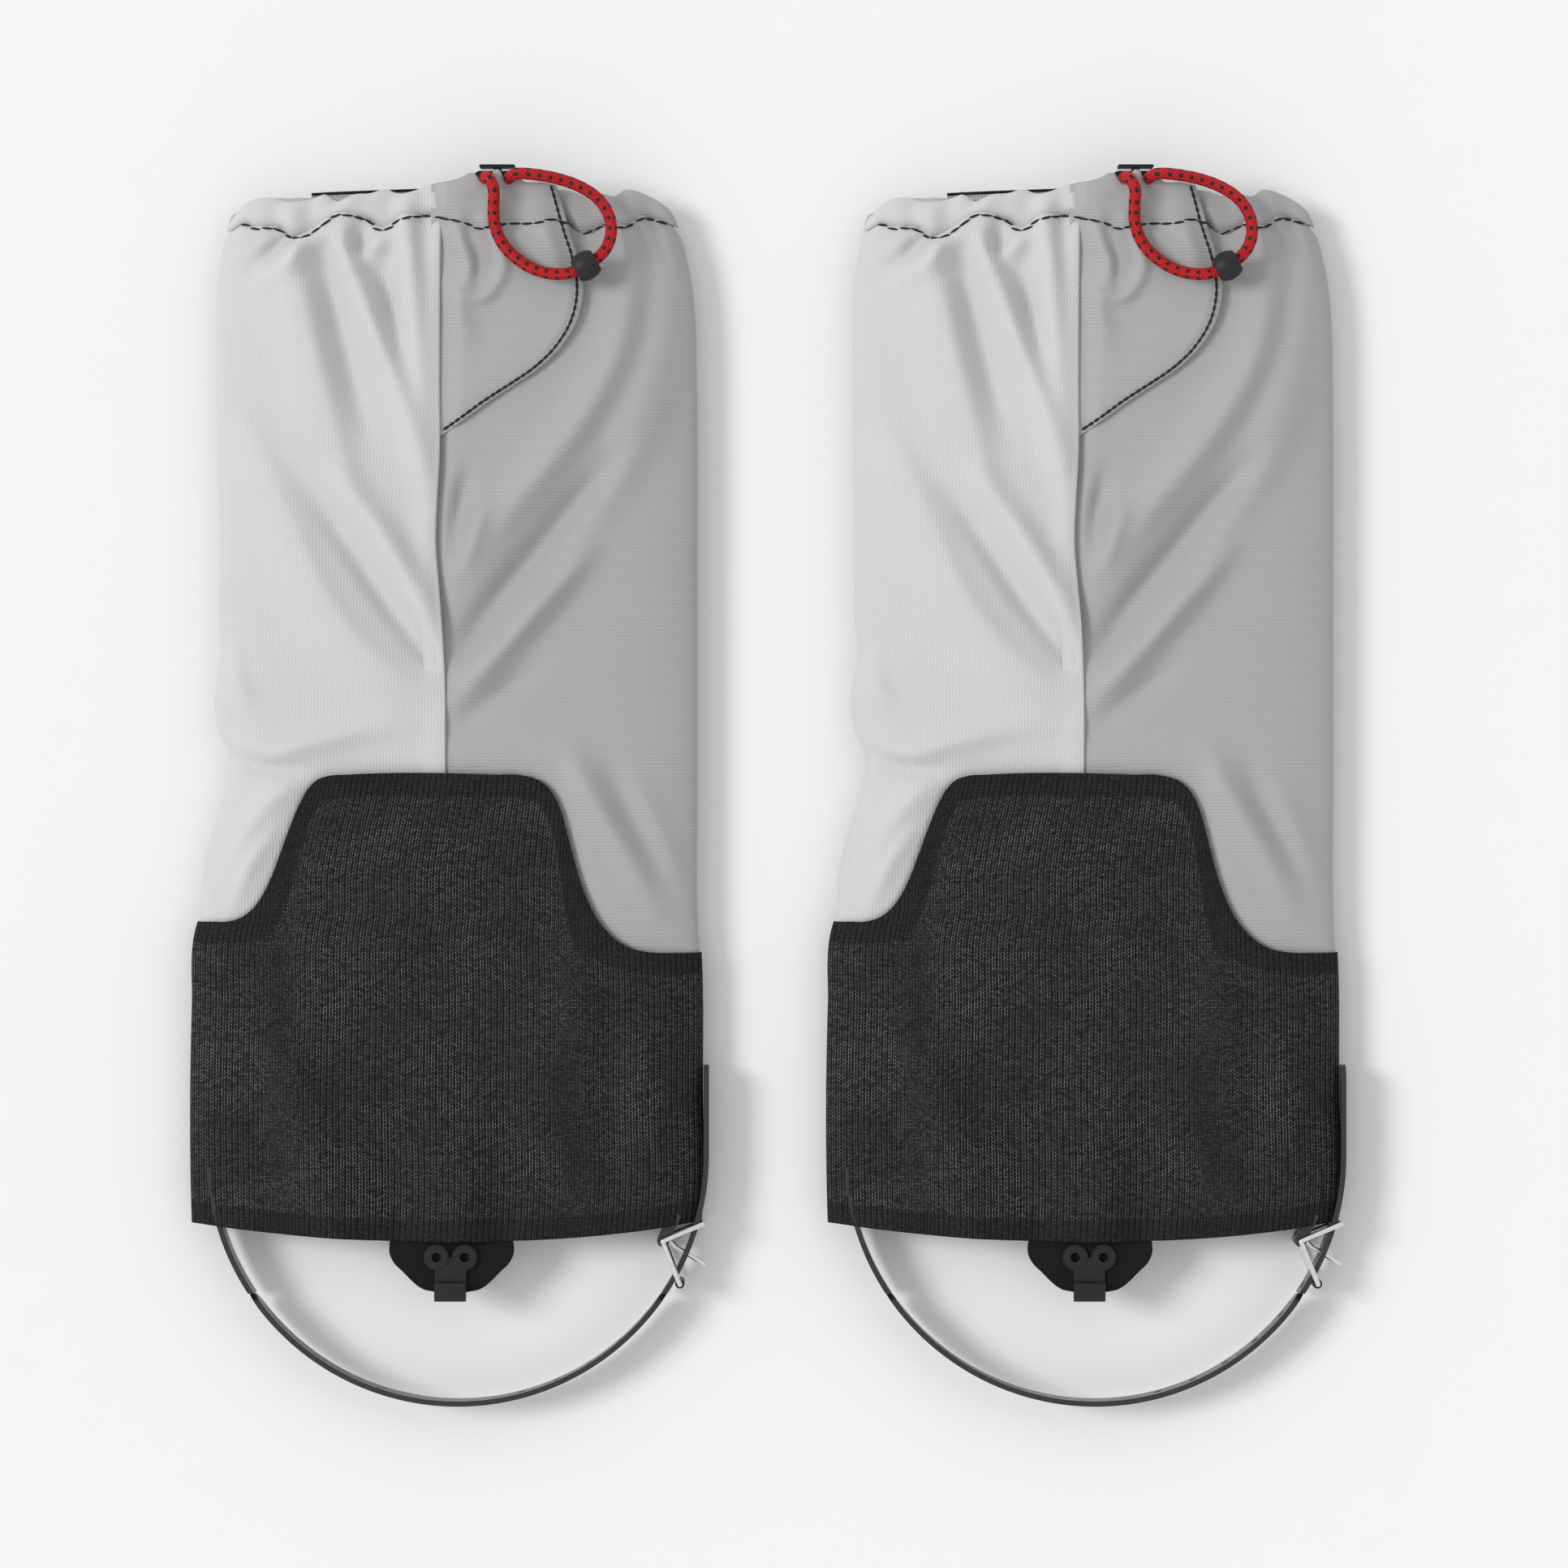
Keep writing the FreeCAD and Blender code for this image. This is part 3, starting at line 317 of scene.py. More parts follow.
def guard_finish():
    material, tree, shader = new_material("guard_knit")
    cloth = node(tree, "ShaderNodeUVMap", {"uv_map": "cloth"})
    across, along, _ = split(tree, cloth)
    rim = node(tree, "ShaderNodeAttribute", {"attribute_name": "rim"}, out=2)
    column = across / GUARD_RIB
    rib = column.wave()
    slant = along / GUARD_LOOP + (column * 2).whole() * 0.5
    loop = slant.wave() * (column * 2 + 0.25).wave()
    cell = node(tree, "ShaderNodeCombineXYZ", {}, {0: (column * 2).whole(), 1: slant.whole(), 2: 0.0})
    chance = node(tree, "ShaderNodeTexWhiteNoise", {"noise_dimensions": "3D"}, {"Vector": cell})
    wear = noise(tree, cloth, 26.0, 3.0)
    speck = noise(tree, cloth, 1500.0, 2.0)
    inside = rim.step(FOLDED_RIM - 1.0, FOLDED_RIM + 1.0)
    lit = (loop * (speck + 0.35)).step(0.42, 0.74) * (chance * 0.9 + 0.1)
    lit = lit * (wear.step(0.30, 0.68) * 0.5 + 0.5) * (inside * 0.7 + 0.3)
    base = mix(tree, rib * 0.6 + speck * 0.3, grey(0.004), grey(0.017))
    colour = mix(tree, lit, base, grey(0.38))
    height = rib * 0.8 + loop * 0.7 + speck * 0.2
    feed(tree, shader, colour, 0.78 - lit * 0.25, height, 0.00030, Specular_IOR_Level=0.12)
    return material


GUARD = guard_finish()
print("guard fabric:", GUARD.name)

# %% [markdown]
# ## Small finishes
# Thread, tape, moulded plastic, rubber, coated steel and bright wire cover little of it, but each one
# catches the light in its own way. They share one recipe: a base grey, two sizes of noise, and a roughness.


# %% Small finishes
def moulded_finish(name, low, high, roughness, grain=900.0, bump=0.00006, metal=0.0, colour=None, **fixed):
    """A plain material with fine grain, slight blotches and uneven gloss, in Object coordinates."""
    material, tree, shader = new_material(name)
    at = node(tree, "ShaderNodeTexCoord", {}, {}, out=3)
    fine, broad = noise(tree, at, grain, 3.0), noise(tree, at, 60.0, 2.0)
    first, second = (grey(low), grey(high)) if colour is None else colour
    mixed = mix(tree, fine * 0.6 + broad * 0.4, first, second)
    fixed.setdefault("Specular_IOR_Level", 0.2)
    gloss = fine * 0.18 + broad * 0.12 + (roughness - 0.15)
    feed(tree, shader, mixed, gloss, fine, bump, Metallic=metal, **fixed)
    return material


def tape_finish(name, level, pitch):
    """Woven tape: fine ribs in two directions."""
    material, tree, shader = new_material(name)
    x, y, z = split(tree, node(tree, "ShaderNodeTexCoord", {}, {}, out=3))
    weave = ((x + z) / pitch).wave() * (y / pitch).wave()
    fuzz = noise(tree, node(tree, "ShaderNodeTexCoord", {}, {}, out=3), 2200.0)
    colour = mix(tree, weave * 0.6 + fuzz * 0.4, grey(level * 0.5), grey(level * 2.2))
    feed(tree, shader, colour, 0.8, weave + fuzz * 0.4, 0.00012, Specular_IOR_Level=0.15)
    return material


THREAD = moulded_finish("black_thread", 0.004, 0.022, 0.62, 2600.0, 0.00008)
TAPE = tape_finish("black_tape", 0.012, 0.0009)
FASTENER = moulded_finish("hook_and_loop_pile", 0.01, 0.09, 0.9, 1500.0, 0.0006)
LOCK = moulded_finish("moulded_black", 0.005, 0.016, 0.42, 700.0, 0.00003)
STRAP = moulded_finish("strap_band", 0.008, 0.022, 0.30, 240.0, 0.00004, Specular_IOR_Level=0.5)
RUBBER = moulded_finish("bead_black", 0.010, 0.032, 0.48, 1100.0, 0.00005)
SPRING = moulded_finish("spring_wire", 0.45, 0.6, 0.3, 500.0, 0.00001, 1.0)
PATCH = tape_finish("coated_patch", 0.006, 0.0011)
COATED = moulded_finish("black_coated_steel", 0.006, 0.018, 0.34, 1300.0, 0.00003, 0.2, Coat_Weight=0.25,
                        Coat_Roughness=0.18)
WIRE = moulded_finish("bright_wire_plating", 0.62, 0.85, 0.24, 420.0, 0.00001, 1.0)
ROLLER = moulded_finish("roller_black", 0.008, 0.025, 0.40, 800.0, 0.00003)
FLOOR = moulded_finish("table_white", 0.78, 0.80, 0.9, 3.0, 0.00001, Specular_IOR_Level=0.1)
floor_mesh.materials.append(FLOOR)
print("small finishes ready")

# %% [markdown]
# ## Mesh helpers
# Cloth is modelled as a grid of points. One helper turns rows of points into a mesh with its UV map in
# metres of cloth, one gives an open sheet its thickness, and one turns the result into a plain mesh.


# %% Mesh helpers
def grid_faces(rows, columns, closed):
    """Quads of a grid, wound so that they face up when rows go away and columns go right."""
    here = np.arange(rows * columns).reshape(rows, columns)
    last = columns if closed else columns - 1
    after = np.roll(here, -1, axis=1)
    quads = np.stack([here[:-1, :last], after[:-1, :last], after[1:, :last], here[1:, :last]], axis=-1)
    return quads.reshape(-1, 4)


def cloth_map(points, straight):
    """Metres of cloth across and along at each point of a grid, measured on its own surface.

    Across is counted from the column that lies nearest the middle, so the ribs run straight up the leg."""
    step_across = np.linalg.norm(np.diff(points, axis=1), axis=2)
    across = np.concatenate([np.zeros((len(points), 1)), np.cumsum(step_across, axis=1)], axis=1)
    half_row = points[:, : max(2, points.shape[1] // 2)]
    anchor = np.abs(half_row[:, :, 0]).argmin(axis=1)
    rows = np.arange(len(points))
    across = across - (across[rows, anchor] - half_row[rows, anchor, 0])[:, None]
    if straight:
        across = np.broadcast_to(across.mean(axis=0), across.shape)
    return np.stack([across, points[:, :, 1]], axis=-1) * MM


def grid_piece(name, side, points, *materials, closed=False, facts=None, tone=None, straight=False):
    """A mesh object from a rows x columns x 3 array of millimetres, with a `cloth` UV map.

    `tone` picks one of the materials for each point of the grid. `straight` keeps each rib on one column."""
    rows, columns = points.shape[:2]
    faces = grid_faces(rows, columns, closed)
    mesh = bpy.data.meshes.new(name)
    mesh.from_pydata(place(side, points.reshape(-1, 3)).tolist(), [], faces.tolist())
    uv = cloth_map(points, straight).reshape(-1, 2)
    corner = np.zeros(len(mesh.loops), np.int32)
    mesh.loops.foreach_get("vertex_index", corner)
    values = uv[corner]
    if closed:
        seam_faces = (faces % columns == columns - 1).any(axis=1) & (faces % columns == 0).any(axis=1)
        wrap = np.repeat(seam_faces, 4) & (corner % columns == 0)
        width = uv.reshape(rows, columns, 2)[:, -1, 0] - uv.reshape(rows, columns, 2)[:, 0, 0]
        values[wrap, 0] += (width * columns / (columns - 1))[corner[wrap] // columns]
    mesh.uv_layers.new(name="cloth").data.foreach_set("uv", values.astype(np.float32).ravel())
    for fact, value in (facts or {}).items():
        attribute = mesh.attributes.new(fact, "FLOAT", "POINT")
        attribute.data.foreach_set("value", value.astype(np.float32).ravel())
    for material in materials:
        mesh.materials.append(material)
    if tone is not None:
        mesh.polygons.foreach_set("material_index", tone.astype(np.int32).ravel()[faces[:, 0]])
    mesh.polygons.foreach_set("use_smooth", [True] * len(mesh.polygons))
    return add_object(name, mesh)


def settle(piece):
    """Turns a piece and its modifiers into one plain mesh."""
    evaluated = piece.evaluated_get(bpy.context.evaluated_depsgraph_get())
    mesh = bpy.data.meshes.new_from_object(evaluated)
    piece.modifiers.clear()
    piece.data = mesh
    return piece


def thicken(piece, wall):
    """Gives a sheet a wall on its inner side, in millimetres."""
    solid = piece.modifiers.new("wall", "SOLIDIFY")
    solid.thickness = wall * MM
    solid.offset = -1
    return settle(piece)


def curve_through(points):
    """A smooth function of one number, through (at, value) points."""
    at, value = np.array(sorted(points), float).T
    slope = np.gradient(value, at)

    def read(x):
        x = np.clip(x, at[0], at[-1])
        i = np.clip(np.searchsorted(at, x) - 1, 0, len(at) - 2)
        span = at[i + 1] - at[i]
        f = (x - at[i]) / span
        near = (1 + 2 * f) * (1 - f) ** 2 * value[i] + f * (1 - f) ** 2 * span * slope[i]
        far = f * f * (3 - 2 * f) * value[i + 1] + f * f * (f - 1) * span * slope[i + 1]
        return near + far

    return read


def ramp(value, low, high):
    """0 below low, 1 above high, smooth between."""
    f = np.clip((value - low) / (high - low), 0, 1)
    return f * f * (3 - 2 * f)


def bell(away, reach):
    """1 on a line, and less and less with the distance from it."""
    return np.exp(-((away / reach) ** 2))


print("mesh helpers ready")

# %% [markdown]
# ## The flattened tube
# Empty and laid down, the tube is a wide, low loop of cloth: almost flat across the middle and rounded at
# both side folds. A superellipse has that section. The side outlines are smooth curves through a few
# measured points, and the guard's top edge is another.

# %% Outlines of the tube
MIDDLE = 11.0
HALF_THICK = 11.0
SQUARENESS = 3.0

left_outline = curve_through([
    (-5, -96.8), (6, -97.3), (50, -98), (90, -97.3), (118, -96.2), (124, -94.6), (140, -94), (155, -90.5),
    (172, -85.2), (184, -83.2), (195, -87.8), (215, -88.4), (224, -86.2), (236, -87.6), (262, -87.4),
    (300, -88.2), (335, -88.6), (362, -88.4), (378, -86.4), (388, -84.2), (396, -83.2), (405, -79.5)])
right_outline = curve_through([(-5, 94.4), (8, 96.3), (60, 96.8), (104, 96.6), (120, 95.8), (178, 95.6),
                               (250, 95.6), (330, 95.4), (350, 95.0), (364, 93.8), (380, 90.6), (388, 88.2),
                               (396, 85.6), (405, 80.5)])
guard_top_front = curve_through([
    (-104, 122), (-90, 122), (-83, 122.2), (-77, 124.6), (-71.5, 130.2), (-66.5, 140), (-62.3, 151.5),
    (-58, 163), (-54.5, 170.4), (-50.5, 175.4), (-45, 177.7), (-38, 178.2), (18, 178.2), (30, 177.7),
    (36.8, 175.0), (40.8, 170.6), (43.8, 164), (47, 152), (50.5, 139), (55.5, 126.5), (62.5, 117),
    (70, 112), (78, 110.3), (88, 110), (104, 110.3)])
guard_top_back = curve_through([(-104, 122), (-82, 122), (-40, 118.9), (0, 116), (40, 113.1), (78, 110.3),
                                (104, 110.3)])
hem_edge = curve_through([(-104, 7.0), (-97, 6.6), (-80, 4.6), (-50, 1.8), (-20, 0.3), (0, 0.0), (25, 0.3),
                          (50, 1.6), (75, 4.1), (97, 7.2), (104, 7.8)])
seam_line = curve_through([(90, -0.5), (178, -0.4), (220, -0.8), (235, -1.6), (250, -2.8), (267, -4.0),
                           (285, -3.4), (300, -2.6), (330, -2.6), (360, -2.4), (390, -2.0), (410, -1.6)])


def centre_and_half(y):
    low, high = left_outline(y), right_outline(y)
    return (low + high) / 2, (high - low) / 2


def share_across(x, y):
    """-1 at the left side fold, 0 in the middle, 1 at the right one."""
    centre, half_width = centre_and_half(y)
    return np.clip((x - centre) / half_width, -1, 1)


def section_height(x, y):
    """How far the plain tube stands above its middle plane."""
    return HALF_THICK * np.sqrt(1 - np.abs(share_across(x, y)) ** SQUARENESS)


def fade_to_side(x, y):
    """1 over the flat of the tube, 0 at its side folds."""
    return 1 - np.abs(share_across(x, y)) ** 7


print("tube width at mid-leg:", round(float(right_outline(250) - left_outline(250)), 1), "mm")

# %% [markdown]
# ## Folds as ridges
# Cloth that is pulled from a gathered edge or a seam makes long ridges. Each one here is a crest line
# walked from top to bottom, with a height at every point and a reach on either side: short on the steep
# side and long on the gentle side. The surface is the sum of them. That gives control over where every fold
# runs, which a cloth simulation of a tube laid by hand would not.


# %% Ridges and hollows
def run_along(points):
    """How far along its line each point lies."""
    return np.concatenate([[0], np.cumsum(np.linalg.norm(np.diff(points, axis=0), axis=1))])


def smooth_line(line, pieces=5):
    """More points on a smooth curve through a short list of points."""
    line = np.array(line, float)
    at = run_along(line[:, :2])
    fine = np.linspace(0, at[-1], (len(line) - 1) * pieces + 1)
    return np.stack([curve_through(list(zip(at, line[:, k])))(fine) for k in range(line.shape[1])], axis=1)


def ridge(x, y, line, east, west):
    """Height of one fold at x, y. Its crest is walked downwards, so its left hand is the east side."""
    nearest, height = np.full(x.shape, 1e9), np.zeros(x.shape)
    points = smooth_line(line)
    for (x0, y0, h0), (x1, y1, h1) in zip(points[:-1], points[1:]):
        dx, dy = x1 - x0, y1 - y0
        f = np.clip(((x - x0) * dx + (y - y0) * dy) / (dx * dx + dy * dy), 0, 1)
        away_x, away_y = x - x0 - f * dx, y - y0 - f * dy
        away = np.hypot(away_x, away_y)
        reach = np.where(dx * away_y - dy * away_x > 0, east, west)
        here = (h0 + f * (h1 - h0)) * bell(away, reach)
        height = np.where(away < nearest, here, height)
        nearest = np.minimum(nearest, away)
    return height


# Each fold: crest line of (x, y, height) from top to bottom, reach to the east, reach to the west.
LEFT_FOLDS = [
    ([(-60, 386, 0.5), (-56, 366, 2.6), (-52, 345, 3.0), (-46, 322, 2.6), (-40, 298, 1.4),
      (-36, 275, 0.2)], 7, 18),
    ([(-42, 389, 0.5), (-38, 378, 2.2), (-33, 364, 2.8), (-27, 348, 2.8), (-20, 330, 2.4), (-14, 312, 2.0),
      (-9, 290, 0.6)], 5, 6),
    ([(-14, 389, 0.6), (-13, 376, 2.2), (-12, 358, 2.2), (-11, 340, 1.6), (-10, 318, 1.2),
      (-9, 296, 0.6)], 4.5, 6),
    ([(-45, 391, 0.2), (-52, 383, 2.6), (-62, 373, 2.2), (-70, 367, 0.4)], 6, 4),
    ([(-20, 389, 0.4), (-24, 383, 1.8), (-30, 377, 1.2), (-35, 372, 0.2)], 5, 4),
    ([(-44, 300, 0.1), (-34, 284, 2.0), (-24, 269, 3.2), (-15, 254, 3.4), (-8, 240, 2.6), (-3, 227, 1.2),
      (-1, 216, 0.2)], 7, 6),
    ([(-84, 318, 0.2), (-74, 303, 1.4), (-60, 275, 1.8), (-47, 247, 2.2), (-33, 228, 2.4), (-17, 214, 1.6),
      (-4, 205, 0.2)], 8, 16),
    ([(-83, 224, 1.0), (-80, 212, 1.6), (-74, 202, 0.2)], 5, 5),
    ([(-4, 196, 0.2), (-25, 196, 1.0), (-50, 191, 2.0), (-68, 187, 2.2), (-80, 190, 1.4)], 6, 6),
    ([(-56, 176, 0.4), (-66, 170, 1.6), (-76, 158, 1.8), (-84, 140, 0.8)], 6, 6),
    ([(-66, 158, 0.3), (-74, 146, 1.4), (-80, 134, 1.0), (-84, 127, 0.3)], 4, 4),
]
LEFT_HOLLOWS = [
    ([(-53, 391, 0.4), (-60, 384, 2.2), (-70, 376, 1.6), (-78, 371, 0.2)], 3.5, 3.5),
    ([(-33, 389, 0.6), (-34, 380, 2.4), (-31, 372, 0.8)], 5, 4),
    ([(-47, 376, 0.4), (-45, 362, 1.8), (-40, 342, 1.8), (-34, 322, 1.2), (-28, 304, 0.2)], 5, 5),
    ([(-26, 374, 0.3), (-23, 360, 1.6), (-19, 346, 0.8), (-16, 334, 0.1)], 4, 4),
    ([(-56, 292, 0.2), (-42, 272, 1.6), (-30, 254, 2.4), (-20, 240, 2.4), (-9, 226, 1.4),
      (-3, 217, 0.3)], 5, 5),
    ([(-89, 197, 0.8), (-82, 186, 1.8), (-68, 181, 1.4), (-54, 180, 0.3)], 3.5, 3.5),
]
RIGHT_FOLDS = [
    ([(70, 376, 0.4), (69, 360, 2.2), (66, 342, 3.0), (58, 324, 3.2), (47, 307, 3.2), (35, 292, 3.0),
      (23, 278, 2.4), (12, 262, 1.2), (6, 250, 0.2)], 8, 9),
    ([(58, 268, 0.2), (49, 257, 2.0), (38, 245, 3.2), (25, 230, 3.2), (13, 217, 2.2), (4, 207, 0.4)], 5.5, 7),
    ([(17, 284, 0.2), (13, 276, 1.8), (9, 264, 1.4), (5, 254, 0.2)], 4, 4),
    ([(86, 372, 0.2), (84, 350, 1.4), (77, 326, 1.8), (66, 304, 1.4), (54, 286, 0.3)], 10, 8),
    ([(90, 338, 0.1), (82, 318, 0.8), (66, 290, 1.0), (46, 262, 0.4)], 8, 8),
    ([(46, 190, 0.2), (52, 176, 1.6), (61, 160, 2.0), (71, 144, 1.6), (80, 128, 0.6)], 6, 6),
    ([(70, 178, 0.1), (78, 162, 1.2), (86, 146, 1.0), (90, 132, 0.2)], 7, 7),
    ([(62, 392, 1.4), (66, 385, 1.6), (72, 374, 0.2)], 3, 3),
    ([(72, 394, 1.4), (77, 385, 1.8), (82, 372, 0.4)], 3, 4),
    ([(80, 390, 1.0), (86, 380, 1.2), (89, 366, 0.3)], 3, 4),
]
RIGHT_HOLLOWS = [
    ([(70, 308, 0.2), (57, 291, 1.8), (44, 276, 2.4), (31, 260, 2.6), (18, 244, 2.4), (8, 229, 1.2),
      (2, 219, 0.2)], 6, 6),
    ([(8, 296, 0.3), (5, 284, 1.8), (3, 272, 1.2), (3, 260, 0.3)], 4, 3),
    ([(36, 222, 0.2), (24, 212, 1.4), (10, 202, 1.0), (3, 196, 0.2)], 5, 5),
    ([(60, 186, 0.1), (67, 170, 1.2), (77, 152, 1.2), (86, 134, 0.3)], 5, 5),
]


FOLD_RISE = 2.1
FOLD_REACH = 0.86


def fold_sum(x, y, folds, hollows):
    """All the ridges less all the hollows. Two shared numbers make the whole set taller or narrower."""
    def total(lines):
        return sum(ridge(x, y, line, east * FOLD_REACH, west * FOLD_REACH) for line, east, west in lines)
    return (total(folds) - total(hollows)) * FOLD_RISE


print("folds:", len(LEFT_FOLDS + RIGHT_FOLDS), "ridges,", len(LEFT_HOLLOWS + RIGHT_HOLLOWS), "hollows")

# %% [markdown]
# ## Gathers under the casing
# The cord bunches the top edge, so the cloth below it starts in many small flutes that die out as they run
# down. Their pitch is uneven, which a sum of a few waves gives, and nothing in it is random.

# %% Gathers and the front surface
CASING_Y = 388.5
GATHER_RUN = 26.0
WAVES = ((0.300, 0.4, 0.55), (0.431, 1.9, 0.35), (0.573, 4.1, 0.25), (0.187, 2.6, 0.30))
STITCH_DIP = 1.3
UNDER_CASING = 3.0             # how far the panel sinks once it is behind the casing's foot

casing_stitch_y = curve_through([(-90, 385), (-84, 387), (-80, 389), (-74, 387), (-65, 386.6), (-60, 383.6),
                                 (-54, 383.4), (-47, 388), (-43, 391), (-35, 391), (-30, 389.5), (-24, 385.4),
                                 (-20, 388.6), (-12, 391), (-6, 391.4), (0, 390), (5, 389), (10, 387.5),
                                 (13, 386.2), (17, 387), (22, 388), (33, 388.2), (45, 388.5), (48, 385.6),
                                 (58, 387), (61, 388), (66, 387), (70, 388), (75, 390.6), (80, 390),
                                 (90, 386)])


def flutes(x):
    """The uneven waves of the gathered edge, about -1 to 1."""
    return sum(size * np.sin(rate * x + start) for rate, start, size in WAVES)


def gather_fade(y):
    """1 at the casing's foot, less and less down the leg."""
    return np.exp(-np.clip(CASING_Y - y, 0, None) / GATHER_RUN * 1.6)


def under_guard(x, y):
    """1 well inside the guard, 0 outside it."""
    return ramp(guard_top_front(x) - y, -1.0, 2.0)


def guard_slope(x):
    """How steep the guard's top edge is, measured over 2 mm."""
    return (guard_top_front(x + 1.0) - guard_top_front(x - 1.0)) / 2


def distance_above_guard(x, y):
    """Rough distance from a point to the guard's top edge, positive above it."""
    return (y - guard_top_front(x)) / np.sqrt(1 + guard_slope(x) ** 2)


def flap_cover(x, y):
    """1 where the closure flap lies over the panel."""
    inside = ramp(flap_edge(y) - x, 2.0, 8.0) * ramp(y, 300, 312)
    return inside * (x > FLAP_FOLD_X)


flap_edge = curve_through([
    (300, -12), (307.6, -2.0), (314, 7.5), (321, 17.2), (327, 26.5), (332, 34), (338, 41), (343.5, 45.6),
    (350, 49.4), (357, 51.6), (366, 52.2), (376, 50.2), (386, 47), (402, 42.5), (410, 40)])


def front_surface(x, y):
    """Height of the shell's front above the table, in millimetres."""
    left = x < seam_line(y)
    folds = np.where(left, fold_sum(x, y, LEFT_FOLDS, LEFT_HOLLOWS),
                     fold_sum(x, y, RIGHT_FOLDS, RIGHT_HOLLOWS))
    gathers = flutes(x) * 2.1 * gather_fade(y)
    stitched = STITCH_DIP * bell(y - casing_stitch_y(x), 3.2)
    stitched += UNDER_CASING * ramp(y - casing_stitch_y(x), 0.6, 3.0)
    side_fade = fade_to_side(x, y)
    covered = flap_cover(x, y)
    away = distance_above_guard(x, y)
    pinch = 1.2 * bell(np.clip(away, 0, None), 4.5) * (away > -4)
    slump = 0.5 * np.sin(x / 23 + y / 61) * np.sin(y / 37 + 0.6)
    loose = (folds + gathers + slump) * side_fade * (1 - covered) * (1 - under_guard(x, y)) - stitched
    return MIDDLE + section_height(x, y) + loose - pinch * side_fade - 1.2 * under_guard(x, y) - covered * 0.6


print("flutes from", round(float(flutes(np.linspace(-80, 80, 400)).min()), 2), "to",
      round(float(flutes(np.linspace(-80, 80, 400)).max()), 2))

# %% [markdown]
# ## Front panels
# The left panel laps over the right one along the middle, and its edge is turned under. So the grid of the
# left panel ends in a small roll: over the edge, down, and back beneath. The right panel starts under it.

# %% Build the front panels
PANEL_LOW, PANEL_HIGH = 97.0, 393.5
CLOTH_STEP = 1.45
ROLL = ((-0.55, -0.10), (-0.15, -0.45), (0.05, -1.0), (-0.15, -1.6), (-0.8, -1.95), (-3.5, -2.2),
        (-8.0, -2.4))
TUCK = 8.0
SHELL_WALL = 0.35


def spread(from_share, to_share, count):
    """Columns between two shares of the half width, closer together towards the side folds."""
    low, high = np.arcsin(np.clip(from_share, -1, 1)), np.arcsin(np.clip(to_share, -1, 1))
    steps = np.linspace(0, 1, count)
    return np.sin(low[:, None] + (high - low)[:, None] * steps)


def panel_rows():
    return np.linspace(PANEL_LOW, PANEL_HIGH, int((PANEL_HIGH - PANEL_LOW) / CLOTH_STEP))


def tucked_half(y):
    """Middle and half width of a panel, which draws in where it runs up inside the casing."""
    centre, half_width = centre_and_half(y)
    return centre, half_width - 3.2 * ramp(y, 383, 391)


def panel_grid(start, end, width):
    """x and y of a panel's points. A side is a share of the half width, or a line that is a function of y."""
    y = panel_rows()
    centre, half_width = tucked_half(y)
    low, high = (np.full(len(y), at) if isinstance(at, float) else (at(y) - centre) / half_width
                 for at in (start, end))
    x = centre[:, None] + half_width[:, None] * spread(low, high, int(width / CLOTH_STEP))
    return x, np.repeat(y[:, None], x.shape[1], axis=1)


def seam_lift(y):
    """How far the turned edge stands off the panel below: open at the top, sewn down at the ankle."""
    return 0.35 + 0.65 * ramp(y, 212, 262)


def left_panel_points():
    x, rows = panel_grid(-1.0, lambda y: seam_line(y) - 0.9, 105)
    z = front_surface(x, rows) + edge_roll(x, rows)
    flat = np.stack([x, rows, z], axis=-1)
    y = panel_rows()
    lift = seam_lift(y)
    rolled = [np.stack([seam_line(y) + dx, y, z[:, -1] + dz * lift], axis=-1) for dx, dz in ROLL]
    return np.concatenate([flat, np.stack(rolled, axis=1)], axis=1)


def edge_roll(x, y):
    """The lapping edge is plump for a few millimetres before it turns under."""
    plump = (0.7 + 1.1 * ramp(y, 225, 290)) * (1 - ramp(y, 378, 389))
    return plump * bell(seam_line(y) - 3.0 - x, 4.5)


def right_panel_points():
    x, rows = panel_grid(lambda y: seam_line(y) - TUCK, 1.0, 112)
    tucked = ramp(seam_line(rows) + 5.5 - x, 0.0, 6.5)
    z = np.where(x < seam_line(rows), front_surface(seam_line(rows) + 0.01, rows), front_surface(x, rows))
    return np.stack([x, rows, z - 2.1 * tucked * seam_lift(rows)], axis=-1)


front_panels = {}
for side in SIDES:
    # The lapping panel takes the painted-light copy of the shell, the lapped panel the painted-shade copy.
    lapping = thicken(grid_piece(f"{side}_overlap_cloth", side, left_panel_points(), SHELL_PAINTED_LIT), SHELL_WALL)
    lapped = thicken(grid_piece(f"{side}_underlap_cloth", side, right_panel_points(), SHELL_PAINTED_SHADE), SHELL_WALL)
    for piece, cad in ((lapping, "overlap_panel"), (lapped, "underlap_panel")):
        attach(piece, f"{side}_tube")
        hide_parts(f"{side}_{cad}")
    front_panels[side] = (lapping, lapped)
    print(side, "front panels:", len(lapping.data.polygons), "and", len(lapped.data.polygons), "faces")

# %% [markdown]
# ## Back panel
# The back lies on the table, so its middle is pressed flat and only shallow creases rise from it. It meets
# the front panels along both side folds, on the same outline.

# %% Build the back panel
BACK_FOLDS = [
    ([(-40, 386, 0.4), (-36, 350, 1.6), (-30, 310, 1.4), (-26, 270, 0.2)], 9, 9),
    ([(30, 388, 0.4), (34, 352, 1.8), (30, 300, 1.6), (22, 250, 0.2)], 9, 9),
    ([(-70, 300, 0.2), (-45, 250, 1.4), (-15, 215, 1.2), (10, 190, 0.2)], 10, 10),
    ([(72, 280, 0.2), (50, 240, 1.6), (24, 200, 1.2), (6, 176, 0.2)], 10, 10),
    ([(-60, 180, 0.2), (-30, 160, 1.2), (0, 150, 1.0), (30, 142, 0.2)], 9, 9),
]
BACK_SEAM_WIDTH = 1.2


